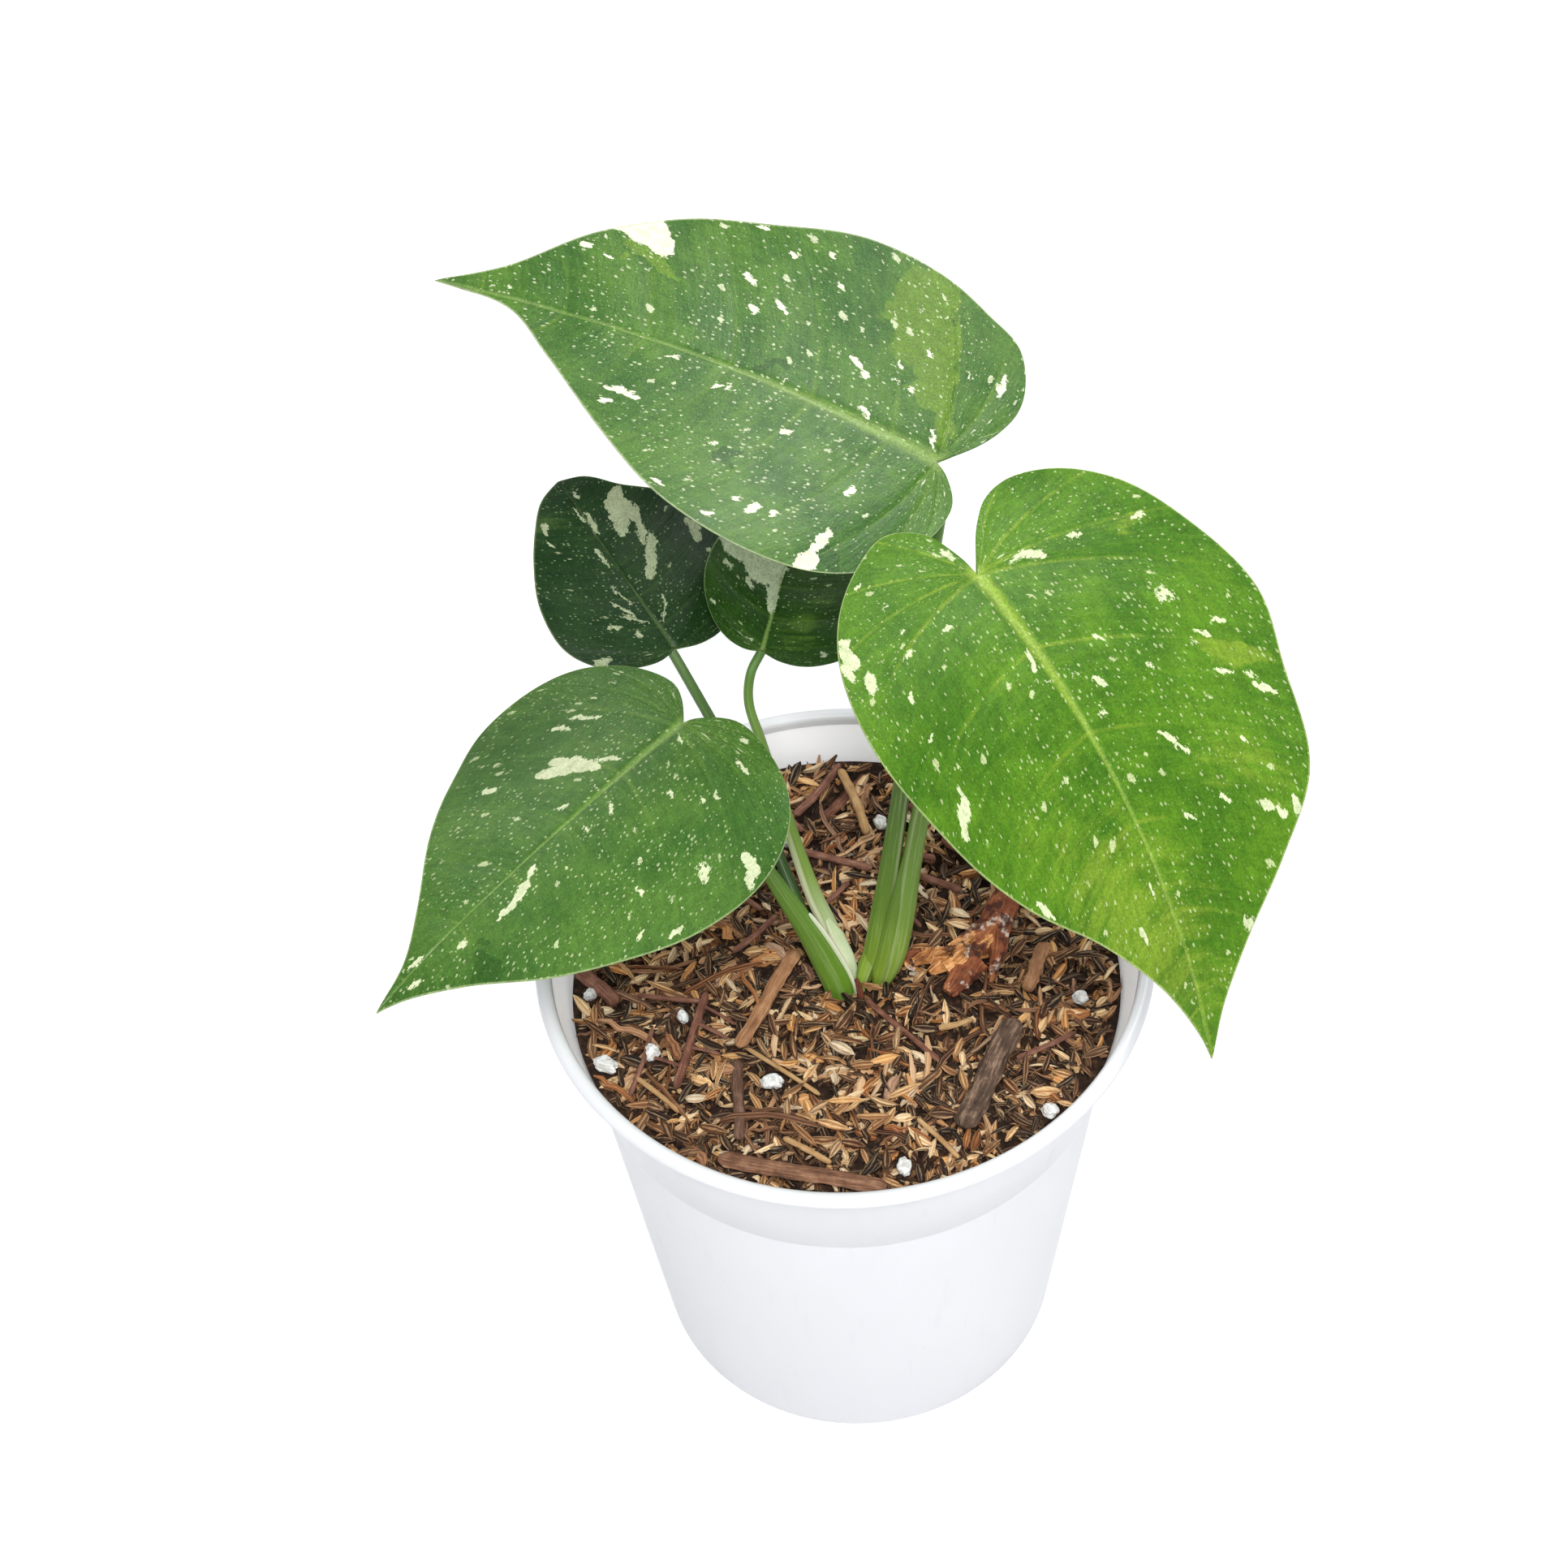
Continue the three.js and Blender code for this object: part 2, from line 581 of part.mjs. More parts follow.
function stemGeometry(grow = 0) {
  const [topRadius, footRadius] = [STEM_RADIUS + grow, STEM_RADIUS - 2 + grow];
  const stem = new THREE.CylinderGeometry(topRadius, footRadius, STEM_LENGTH + 2 * grow, 20);
  stem.rotateX(Math.PI / 2);
  return stem.translate(...STEM_CENTRE, STEM_TOP - STEM_LENGTH / 2);
}

// The mix with its cover of chips, and with a plain hole or seat for each piece that stands or lies in it
function mixGeometry() {
  let mix = mixBody();
  for (const chip of chipSolids()) mix = mix.add(chip);
  const cuts = [
    stemGeometry(GAP),
    ...LEAVES.map((leaf) => stalk(stalkPath(leaf), leaf.girth, STALK_STEPS, GAP)),
    ...SLIVERS.map(([, , start, end, width, thickness]) => sliver(start, end, width, thickness, GAP)),
    ...PERLITE.map((grain, i) => perliteGrain(grain, i, GAP)),
    stalk(WOOD_PATH, WOOD_GIRTH, 8, GAP),
    stalk(SHEATH_PATH, SHEATH_GIRTH, 4, GAP),
  ];
  for (const cut of cuts) mix = mix.subtract(solidOf(cut));
  return geometryOf(mainBody(mix));
}

const plant = new THREE.Group();

function addPiece(name, geometry, color, roughness) {
  const piece = new THREE.Mesh(geometry, new THREE.MeshStandardMaterial({ color, roughness, metalness: 0 }));
  piece.name = name;
  plant.add(piece);
}

addPiece("pot", potGeometry(), 0xeef0f2, 0.35);
addPiece("potting_mix", mixGeometry(), 0x7a5236, 0.95);
addPiece("buried_stem", stemGeometry(), 0x6f7a45, 0.8);
for (const leaf of LEAVES) addPiece(leaf.name, geometryOf(leafSolid(leaf)), leaf.colour, 0.45);
addPiece("woody_chunk", stalk(WOOD_PATH, WOOD_GIRTH, 8), 0xa8562a, 0.8);
addPiece("dried_sheath", stalk(SHEATH_PATH, SHEATH_GIRTH, 4), 0x6e3a26, 0.85);
for (const [name, colour, start, end, width, thickness] of SLIVERS) {
  addPiece(name, sliver(start, end, width, thickness), colour, 0.9);
}
PERLITE.forEach((grain, i) => {
  addPiece(`perlite_${String(i + 1).padStart(2, "0")}`, perliteGrain(grain, i), 0xf4f2ee, 0.95);
});

export default plant;
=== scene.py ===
# Fine meshes, finishes, light and camera for a potted variegated monstera.
# The tables are in millimetres and degrees, as the plant is measured; the meshes are made in metres.
import functools
import json
import math

import bmesh
import bpy
import numpy as np
from mathutils import Matrix, Vector


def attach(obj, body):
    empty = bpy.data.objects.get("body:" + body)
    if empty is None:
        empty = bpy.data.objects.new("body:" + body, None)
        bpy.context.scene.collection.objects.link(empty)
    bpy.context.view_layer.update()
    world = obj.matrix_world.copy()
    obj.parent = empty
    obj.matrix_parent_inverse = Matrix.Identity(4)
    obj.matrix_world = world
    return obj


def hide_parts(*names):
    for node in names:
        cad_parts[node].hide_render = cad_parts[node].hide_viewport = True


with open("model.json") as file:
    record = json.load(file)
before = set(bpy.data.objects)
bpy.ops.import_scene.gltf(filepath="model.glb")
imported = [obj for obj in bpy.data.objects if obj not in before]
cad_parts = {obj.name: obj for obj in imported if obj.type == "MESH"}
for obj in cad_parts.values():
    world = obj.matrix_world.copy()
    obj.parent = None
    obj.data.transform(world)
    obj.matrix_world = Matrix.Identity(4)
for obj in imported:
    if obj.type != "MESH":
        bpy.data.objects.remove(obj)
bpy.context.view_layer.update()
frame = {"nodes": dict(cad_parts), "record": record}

MM = 0.001

# Camera of the photograph: place and directions in metres, and a lens for a 36 mm wide sensor
CAMERA_PLACE = (0.0, -0.58567, 0.92945)
CAMERA_RIGHT = (0.99885, -0.02597, -0.04028)
CAMERA_UP = (0.04569, 0.76977, 0.63669)
CAMERA_LENS = 83.85

# Pot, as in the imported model
POT_HEIGHT = 156
RIM_RADIUS = 82.5
BEAD_RADIUS = 2.1
COLLAR_TOP_RADIUS = 79.7
COLLAR_FOOT_RADIUS = 70.9
COLLAR_FOOT_HEIGHT = 117
COLLAR_STEP = 0.5
BASE_RADIUS = 57
FOOT_INNER_RADIUS = 47
FOOT_RECESS = 1.6
CENTRE_PAD_RADIUS = 14
WALL = 1.8
FLOOR_TOP = 4
DRAIN_COUNT = 6
DRAIN_RADIUS = 3.5
DRAIN_CIRCLE = 33
DRAIN_SEGMENTS = 40
POT_SEGMENTS = 224

# Potting mix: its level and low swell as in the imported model, and a heap at the back, which is higher
MIX_LEVEL = 139.4
MIX_MOUND = 1.6
MIX_RIPPLE = 0.7
MIX_BACK_RISE = 0.035
MIX_REACH = 68
BACK_HEAP = 2.5
BACK_HEAP_START = 35
BACK_HEAP_RUN = 30
WALL_CLEARANCE = 0.4

# The bed under the loose pieces, and the smaller surface that they are scattered over
BED_DEPTH = 2.4
BED_FLOOR_GAP = 0.3
BED_SIDES = 300
BED_RINGS = 90
SCATTER_SIDES = 160
SCATTER_RINGS = 60
SCATTER_INSET = 3.0
PIECE_CLEARANCE = 0.3
HUSK_RIBS = 17.0

# Blades: grid between midrib and margin, thickness, and the run of the side veins
COLUMNS = 150
VEIN_COLUMNS = 15
FIRST_VEIN = 6
ROWS = 40
BLADE_THICKNESS = 0.55
MARGIN_THICKNESS = 0.25
MARGIN_RUN = 3
VEIN_SLANT = 0.5
VEIN_SAG = 0.07

# Relief of a blade: swells between sunken side veins, a channel along the midrib, and ribs underneath
SWELL_HEIGHT = 0.4
GROOVE_DEPTH = 0.32
GROOVE_HALF_WIDTH = 0.7
CHANNEL_DEPTH = 0.45
RIB_DEPTH = 1.5
UNDER_VEIN_DEPTH = 0.25
UNDER_VEIN_HALF_WIDTH = 0.5

# Stalks, their folds and the sheath's margin
STALK_SIDES = 32
STALK_STEPS = 110
FOLD_STEPS = 40
BURIED_STALK = 9
SHEATH_WIDTH = 1.15
SHEATH_HALF_THICKNESS = 0.22

# The flow map runs this far from one side vein to the next, apart for the two halves, and round a stalk
FLOW_PER_VEIN = 9.0
FLOW_OF_HALF = 500
FLOW_ROUND_STALK = 12
# What a map or a distance holds where a grid gives none: far from any vein, midrib or margin
FAR = 9.0
# Finishes of a leaf, in the order of its materials
FACE, UNDERSIDE, STALK, SHEATH = range(4)

FLOAT = "NodeSocketFloat"
COLOUR = "NodeSocketColor"
VECTOR = "NodeSocketVector"

# Each leaf: joint is where stalk meets blade, heading and rise point the midrib, tilt lowers the left
# half, arch and cup bend the blade down along and across it per metre, and droop lowers its tip.
# left and right run round each half from the notch at the joint to the tip, as [along, out].
# girth is [share of stalk length, half width, half depth], and rib is the midrib's half width.
LEAVES = {
    "leaf_top": {
        "joint": [28, 44.5, 290], "heading": 159, "rise": 22.5, "tilt": -8, "arch": 2.7, "cup": -2.1,
        "droop": -1, "wave": [0.9, 2.6, 0.4], "tip": [132, 7], "rib": 2.8,
        "left": [[-4, 3], [-8, 9], [-8, 16], [-5, 25], [4, 38], [17, 46], [36, 49], [55, 45], [77, 32],
                 [97, 18], [112, 8]],
        "right": [[-5, 9], [-12, 18], [-13, 28], [-7, 40], [4, 45], [17, 49], [38, 49], [61, 42], [82, 35],
                  [101, 22], [117, 4]],
        "stalk": [[5.6, 0.8, 130.3], [6, 0.9, 137], [6.4, 1, 143], [8.8, 2, 153], [11.3, 5, 168],
                  [13.7, 8, 184], [16.4, 12.5, 202], [21.5, 23, 236], [26.2, 35, 266], [28.6, 42.5, 283]],
        "girth": [[0, 1.2, 1.6], [0.05, 1.6, 2.2], [0.075, 2.3, 2.7], [0.115, 3, 2.8], [0.16, 3.2, 2.6],
                  [0.235, 2.8, 2.3], [0.34, 2.5, 2.1], [0.45, 2.15, 2.1], [1, 1.8, 1.8]],
    },
    "leaf_right": {
        "joint": [35.3, -3.2, 300], "heading": -55, "rise": -12.5, "tilt": -7.4, "arch": 6.4, "cup": -4.8,
        "droop": 0.5, "wave": [0.7, 3.1, 1.9], "tip": [130, -4], "rib": 2.6,
        "left": [[-8, 8], [-16, 14], [-19, 24], [-15, 35], [-4, 45], [13, 52], [36, 57], [55, 52], [78, 46],
                 [94, 31], [108, 14], [119, 3]],
        "right": [[-8, 1], [-16, 4], [-20, 12], [-15, 25], [-3, 41], [13, 52], [33, 57], [55, 51], [75, 39],
                  [91, 24], [108, 12], [122, 6]],
        "stalk": [[9.6, -1, 130.3], [10.2, -1, 137], [11.4, -1.5, 142], [13.6, -1.4, 150], [15.9, 1.4, 162],
                  [18.4, 6, 179], [21.4, 9.6, 197], [25, 11, 217], [29.5, 9.5, 250], [33.8, 4, 281]],
        "girth": [[0, 1, 1.6], [0.05, 1.4, 2], [0.075, 1.9, 2.4], [0.115, 2.6, 2.6], [0.19, 2.8, 2.4],
                  [0.295, 2.6, 2.2], [0.4, 2.4, 2.1], [1, 1.8, 1.8]],
    },
    "leaf_left": {
        "joint": [-37.8, 2.5, 245], "heading": -138, "rise": -6.5, "tilt": 8.6, "arch": 2.2, "cup": 6.2,
        "droop": 2, "wave": [0.9, 2.4, 2.6], "tip": [104, -4], "rib": 1.7,
        "left": [[-4, 3], [-9, 11], [-8, 23], [-2, 37], [8, 46], [22, 50], [40, 47], [58, 38], [72, 28],
                 [86, 12], [97, 1]],
        "right": [[-4, 4], [-8, 12], [-6, 27], [3, 41], [17, 49], [31, 50], [47, 41], [62, 30], [78, 16],
                  [91, 7]],
        "stalk": [[-1.3, -4.2, 130.3], [-1.4, -4.3, 137], [-2.2, -4, 143], [-5.4, -3, 153],
                  [-10.6, -2.3, 168], [-18.5, -1.2, 188], [-28, 0.6, 216], [-34.6, 1.8, 235]],
        "girth": [[0, 4, 2.6], [0.14, 4, 2.5], [0.36, 2.7, 1.9], [0.5, 1.7, 1.6], [1, 1.5, 1.5]],
    },
    "leaf_back_left": {
        "joint": [-41.3, 58.7, 210], "heading": 128, "rise": 28, "tilt": 0, "arch": 9, "cup": 4,
        "droop": 3, "wave": [0.8, 2.2, 0.9], "tip": [64, -9], "rib": 1.0,
        "left": [[-1, 6], [3, 16], [9, 22], [17, 25], [29, 23], [41, 16], [51, 8], [59, 0]],
        "right": [[-2, 5], [-3, 13], [3, 25], [15, 31], [29, 32], [41, 27], [50, 20], [60, 15]],
        "stalk": [[-5.6, 2.9, 130.3], [-6.1, 3.4, 135], [-8.4, 8, 145], [-13.5, 19, 156], [-22.2, 35, 173],
                  [-31.5, 47, 190], [-37, 53, 200]],
        "girth": [[0, 1.9, 1.9], [0.3, 1.6, 1.5], [1, 1.3, 1.3]],
    },
    "leaf_back": {
        "joint": [-18, 52.2, 215], "heading": 72, "rise": 20, "tilt": 10, "arch": 9, "cup": 4,
        "droop": 5, "wave": [0.7, 2.3, 2], "tip": [63, 2], "rib": 0.8,
        "left": [[-1, 4], [1, 10], [7, 16], [16, 20], [28, 20], [41, 15], [53, 7]],
        "right": [[-2, 6], [-1, 14], [5, 23], [16, 27], [29, 25], [42, 18], [54, 7]],
        "stalk": [[-0.3, 6.8, 130.3], [-0.6, 7.4, 136], [-3, 11, 144.5], [-7.3, 16.6, 154],
                  [-11.6, 23.6, 167], [-15, 30, 180], [-19.4, 38.4, 194], [-22.2, 44.6, 203],
                  [-21.2, 49.2, 209.5]],
        "girth": [[0, 2.4, 2.1], [0.2, 2.4, 2], [0.35, 2, 1.7], [0.6, 1.3, 1.3], [1, 1.2, 1.2]],
    },
}

# Cream marks on each flat blade: [along, across, length, width, turn]
CREAM_MARKS = {
    "leaf_top": [
        [97, -28.5, 24, 8, 8], [91, -28, 16, 11, -8], [85, -25, 9, 7, -35], [102, -17, 4, 1.5, 0],
        [95, -16, 3.5, 1.5, -5], [61, -25, 5, 2, -20], [57, -17, 4.5, 2, -40], [51, -21, 6, 1.2, -30],
        [40, -33, 3, 1.5, -30], [45, -40, 3, 1.5, -45], [54, -36, 3.5, 1.2, -25], [64, -40, 4.5, 1.5, 5],
        [78, 20, 6.5, 2, 10], [74, 20, 6, 2.2, -5], [79, 24, 4, 1.5, 20], [69, 5, 4, 1, 15],
        [56, 8, 4, 1, 35], [58, 41, 4, 1.5, -10], [44, 44, 3, 1.5, 20], [35, 37, 5.5, 2.5, 55],
        [30, 36, 3, 1.5, 65], [36, 12, 3, 2, 15], [16, 20, 4.5, 1.5, 65], [18, 44, 9, 5.5, 70],
        [17, 37, 10, 3, 75], [28, -15, 5, 2, -30], [25, -13, 4, 1.5, -45],
        [21, -3, 5, 1.3, -25], [18, -20, 2.5, 1, -50], [13, -15, 2.5, 1, -60], [-7, -28, 7.5, 2.2, -85],
        [3, -5, 6, 1, -65],
    ],
    "leaf_right": [
        [2, -43, 4.5, 2, -90], [6, -45, 8, 4.5, -15], [9, -48, 6, 3, -10], [14, -45, 7, 2.8, -35],
        [-10, -29, 3, 1.5, -70], [11, -30, 3.5, 1.2, -75], [21, -38, 4, 1.5, -30], [31, -40, 3, 1.2, -60],
        [9, -17, 3.5, 1.5, 85], [45, -41, 4, 1.5, -15], [49, -43, 9.5, 3.6, -40], [53, -46, 5.5, 2, -25],
        [25, -3, 7.5, 1.4, -20], [1, 11, 5, 1.2, -85], [2, 15, 7.5, 3, 55], [3, 27, 4.5, 1.5, 70],
        [7, 43, 3.5, 1.5, 80], [-8, -3, 5, 2, 20], [37, 9, 5, 2, 35], [28, 16, 3.5, 1.2, 35],
        [27, 35, 2.5, 1.5, 85], [38, 44, 4, 1.2, 65], [39, 39, 5, 1.2, 35], [49, 38, 5, 1.2, 60],
        [57, 45, 7.5, 2, 45], [56, 17, 5.5, 1.5, 35], [60, 19, 5, 1.2, 35], [65, 34, 3, 1.2, 40],
        [75, 23, 3.5, 1.2, 35], [75, 13, 4, 1.2, 50], [81, 32, 5.5, 2.5, 35], [84, 35, 4, 2, 25],
        [84, 39, 6, 2.5, 0], [85, -5, 4.5, 1.3, -10], [94, -12, 5, 1.3, 5], [77, -35, 6.5, 1.6, 30],
    ],
    "leaf_left": [
        [30, -16, 11.5, 4, -50], [25, -13, 17, 5.2, -65], [19, -7, 7, 1.5, -50], [13, -24, 10.5, 1.6, -60],
        [19, -27, 6.5, 2, -60], [43, -27, 5, 2, -45], [36, -5, 3, 1.5, -25], [54, 3, 5.5, 1.5, 25],
        [59, 5, 8, 2.6, 15], [65, 6, 8, 1.6, 0], [29, 6, 4, 1, 50], [41, 29, 3, 1.6, 75],
        [43, 43, 5, 2, -5], [49, 37, 3, 1, 10], [18, 44, 8, 3.2, 75], [21, 47, 6.5, 2.6, 45],
        [0, 23, 6.5, 1.2, 80], [4, 4, 4, 1, 65], [-6, 17, 3, 1.5, 90], [13, 22, 3, 1.2, 70],
        [10, 24, 3.5, 1, 60], [17, 15, 2.5, 1, 55], [78, 3, 3.5, 1.5, 5], [89, -4, 5.5, 1, -15],
        [93, 0, 5.5, 1.4, -20],
    ],
    "leaf_back_left": [
        [46, -15, 12, 5, -50], [40, -12, 15, 5, -25], [40, -16, 11, 4.5, -10], [33, -14, 10, 2.4, -30],
        [43, -5, 9.5, 1.6, -15], [47, -4, 7, 1, -10], [54, -8, 4, 1.5, -15], [49, 6, 5.5, 1.6, -20],
        [44, 8, 3, 1.2, 10], [32, 0, 8, 1, -5], [29, -15, 5, 2, -25], [25, -11, 16, 3.4, -38],
        [27, -27, 5.5, 3, 20], [24, -26, 6.5, 2.6, -20], [18, -26, 2.5, 1.4, 30], [7, 18, 4, 2, 85],
        [7, 19, 4.5, 2, 45], [8, 6, 2.5, 1.4, 35], [13, 10, 5, 1, 60], [13, -6, 2.5, 1, -25],
        [16, 5, 9, 0.9, 25], [12, 4, 8, 0.8, 40], [20, 3, 9, 0.8, 12], [10, -4, 7, 0.8, -40],
    ],
    "leaf_back": [
        [33, 9.5, 21, 23, 0], [25, 5.5, 15, 12.5, 22], [18, 1.4, 17, 3.6, 8], [45, 9, 24, 22, 0],
        [18, 8, 4, 1.8, 30], [22, 15, 4, 1.6, 45], [10, 16, 2, 1, 35],
        [2, 4, 3, 0.6, 75], [3, -16, 2, 1.4, -60],
    ],
}

# Fields of yellower or deeper green on a flat blade: [along, across, length, width, turn, lighter by]
GREEN_FIELDS = {
    "leaf_top": [[18, -36, 26, 15, -70, 1.5], [9, -22, 30, 7, -62, 1.3], [86, -19, 15, 4, -10, 1.4],
                 [47, 26, 7, 3, 20, -1.3], [14, 40, 5, 4, 0, -1.3], [48, -3, 5, 2, 20, -1.3]],
    "leaf_right": [[47, 44, 20, 8, 55, 0.5], [6, 40, 20, 8, 60, 0.3], [92, -12, 84, 46, 10, 0.36],
                   [70, 32, 46, 20, 30, 0.28]],
    "leaf_left": [[80, 13, 14, 8, 70, -1.1], [20, 10, 30, 20, 30, 0.2]],
    "leaf_back_left": [[50, 5, 26, 14, 60, 0.25]],
    "leaf_back": [[10, -8, 26, 14, -40, 0.3]],
}

# Each blade: its material slot, gloss, amount of flecks and strength of its side veins
BLADE_LOOKS = {
    "leaf_top": ("leaf", 0.44, 1.15, 0.34),
    "leaf_right": ("leaf_young", 0.18, 1.1, 0.5),
    "leaf_left": ("leaf", 0.28, 1.2, 0.36),
    "leaf_back_left": ("leaf_dark", 0.11, 1.0, 0.2),
    "leaf_back": ("leaf_dark", 0.09, 0.7, 0.2),
}
# Its deep, bright and yellow green, its cream, and the colour of its midrib
BLADE_COLOURS = {
    "leaf_top": [(0.028, 0.10, 0.010), (0.077, 0.177, 0.020), (0.16, 0.27, 0.02), (0.78, 0.78, 0.60),
                 (0.18, 0.30, 0.05)],
    "leaf_right": [(0.042, 0.13, 0.008), (0.092, 0.215, 0.012), (0.23, 0.33, 0.03), (0.62, 0.66, 0.42),
                   (0.25, 0.38, 0.035)],
    "leaf_left": [(0.036, 0.108, 0.015), (0.075, 0.168, 0.024), (0.15, 0.27, 0.04), (0.62, 0.66, 0.42),
                  (0.16, 0.28, 0.05)],
    "leaf_back_left": [(0.007, 0.024, 0.007), (0.015, 0.042, 0.010), (0.06, 0.11, 0.022),
                       (0.32, 0.36, 0.22), (0.03, 0.065, 0.014)],
    "leaf_back": [(0.008, 0.032, 0.003), (0.019, 0.060, 0.005), (0.09, 0.17, 0.02), (0.36, 0.42, 0.27),
                  (0.14, 0.23, 0.05)],
}
# Each stalk's colour at its foot, middle and top, its ridges, and the pale band along it: where round
# the stalk it lies, its half width, its strength and how far up it reaches, in tenths of a metre
STALK_COLOURS = {
    "leaf_top": [(0.27, 0.40, 0.025), (0.13, 0.24, 0.03), (0.06, 0.14, 0.016), (0.34, 0.44, 0.16),
                 (10.3, 0.5, 0.3, 1.6)],
    "leaf_right": [(0.28, 0.42, 0.025), (0.18, 0.31, 0.05), (0.12, 0.24, 0.03), (0.44, 0.52, 0.25),
                   (7.7, 0.5, 0.22, 1.6)],
    "leaf_left": [(0.13, 0.27, 0.015), (0.12, 0.24, 0.03), (0.08, 0.18, 0.025), (0.26, 0.38, 0.12),
                  (9.2, 0.22, 0.07, 1.6)],
    "leaf_back_left": [(0.06, 0.13, 0.03), (0.035, 0.09, 0.02), (0.07, 0.14, 0.03), (0.16, 0.22, 0.1),
                       (9.0, 0.2, 0.2, 1.0)],
    "leaf_back": [(0.66, 0.68, 0.52), (0.22, 0.34, 0.06), (0.06, 0.15, 0.02), (0.30, 0.42, 0.14),
                  (7.3, 1.7, 0.95, 0.6)],
}
# Flecks from dust to large dabs: cell in mm, stretch along the veins, share of cells, size, raggedness
FLECK_LAYERS = [
    (0.8, 0.6, 0.48, 0.16, 0.5), (1.9, 0.4, 0.13, 0.15, 0.55), (4.0, 0.36, 0.1, 0.13, 0.5),
    (9.0, 0.36, 0.04, 0.11, 0.4),
]

# Sheath margins at the foot of a stalk: side of the stalk, first and last share of its length, lean
SHEATHS = {"leaf_left": [-12, 0.06, 0.33, 0.1]}

# Rounded folds where the stalks' feet clasp each other: path, and [share, half width, half depth]
STALK_FOLDS = {
    "leaf_top": [
        ([[8.3, -2.4, 138.5], [9.2, -2, 143], [11.3, -1, 152], [13.9, 1.9, 165], [16.6, 6.6, 182]],
         [[0, 1.4, 1.2], [0.12, 2.3, 1.8], [0.35, 2.5, 2], [0.65, 2.1, 1.8], [1, 0.5, 0.5]]),
        ([[3.6, -4.2, 138.5], [4.3, -2.6, 142], [6.4, 0.6, 147.5], [9.4, 2.6, 156]],
         [[0, 1.3, 1], [0.4, 2.1, 1.8], [0.7, 1.9, 1.6], [1, 0.4, 0.4]]),
    ],
    "leaf_back": [
        ([[2.6, 0, 139], [1.4, 2.8, 142.2], [-1, 7.4, 145], [-5, 13.6, 150.5]],
         [[0, 1, 0.9], [0.3, 1.9, 1.5], [0.65, 2.2, 1.7], [1, 0.5, 0.5]]),
    ],
}

# Loose pieces on the mix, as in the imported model: [start, end, width, thickness]
SLIVERS = {
    "dark_bark": [[44.5, -18.9, 143], [28.4, -51.5, 142], 6.5, 3.4],
    "pale_stick": [[54, 6, 143], [48, -8.5, 141.5], 3.6, 2.4],
    "front_bark": [[-35, -57, 141], [8, -68.5, 141], 4.6, 2],
    "tan_strip": [[-12.8, 8.2, 142], [-29.2, -22.6, 141.5], 3.8, 1.8],
    "brown_strip": [[-29.6, -26.5, 141], [-29.4, -52, 141.5], 3, 1.8],
    "left_twig": [[-37.4, -4.6, 142], [-46, -35, 141.5], 2.2, 2],
    "root_back": [[12.3, 41.6, 142], [26, 36.4, 142.5], 2.8, 2.6],
    "root_right": [[28.5, 44, 143], [47.5, 31, 142.5], 4, 3.4],
    "thin_fibre": [[5, -8.8, 141.5], [23.6, -30, 141.5], 1.6, 1.5],
    "back_stick": [[-4.5, 53, 142], [8.5, 68, 142], 2.8, 2.2],
}
# More sticks that lie between the husks, each as its two ends and its width: [x, y, x, y, width]
PALE_STICKS = [
    [-26.8, -23.4, -8.2, -39, 1.3], [1.2, 67.5, 7.6, 46, 2.6], [17, -48, 27, -60, 1.4],
    [-56, -31, -45, -42, 1.4], [24, -20, 33, -17, 1.7], [-18, -52, -6, -60, 1.6],
]
BROWN_STICKS = [
    [-11, 41.5, 8.5, 34.8, 2.2], [20.3, 31.1, 32.5, 25.9, 2.1], [-72, 5.3, -61.4, -6, 4],
    [-56, -4.3, -37, -7.5, 1.5], [-12, 53.1, 1, 70, 2.3], [-60, 8, -44, 20, 1.8], [-35, 34, -22, 22, 1.6],
    [14, 56, 30, 52, 1.8], [-24, 62, -10, 48, 2], [-52, -15, -58, -36, 1.4], [44, -30, 60, -22, 1.5],
    [-8, 20, 2, 30, 1.5], [10, 28, 21, 14, 1.4], [-30, 8, -18, 20, 1.7], [-40, -15, -32, -20, 1.1],
    [-42, -22, -34, -25, 1], [-38.5, -9, -30, -15, 0.9], [-44, -28, -53, -24, 1],
]
# Shapes of husks: length, width, curl in degrees, bow and seed
HUSKS = [(7.6, 2.2, 85, 0.35, 1), (6.9, 2.0, 110, -0.3, 2), (8.1, 1.8, 80, 0.5, 3), (6.4, 2.3, 100, 0.1, 4),
         (5.2, 1.5, 70, 0.4, 5), (7.3, 2.1, 95, -0.6, 6)]
# Shapes of fibres and crumbs: length, width, thickness, bend and seed
FIBRES = [(17, 1.5, 1.1, 1.2, 6), (24, 1.9, 1.2, -1.8, 7), (12, 1.0, 0.8, 0.8, 8), (14, 2.6, 1.2, 0.4, 9),
          (9, 3.2, 1.4, -0.3, 10)]
CRUMBS = [(2.6, 1.5, 1.2, 0.2, 11), (1.8, 1.4, 1.1, 0.1, 12), (4.2, 0.7, 0.6, 0.3, 13)]
# Layers of loose pieces: shape and finish; clearance, lowest and highest place over the bed; then how
# many per square metre, how much denser toward the back, seed, smallest and largest scale, tip and roll
LAYERS = {
    "husks_low": ("husk", "rice husks", (1.8, 0.3, 1.5), (80000.0, -0.2, 11, 0.8, 1.15, 0.3, 1.2)),
    "husks_top": ("husk", "rice husks", (2.0, 1.8, 3.9), (74000.0, 0.0, 23, 0.85, 1.4, 0.34, 1.3)),
    "fibres": ("fibre", "brown fibres", (2.8, 1.0, 3.2), (36000.0, 0.8, 37, 0.6, 1.15, 0.16, 1.5)),
    "crumbs": ("crumb", "rice husks", (1.0, 0.4, 3.0), (150000.0, 0.1, 51, 0.6, 1.2, 0.9, 3.0)),
}
LAYER_NUMBERS = ("Per square metre", "Toward back", "Seed", "Smallest", "Largest", "Tip up", "Roll")
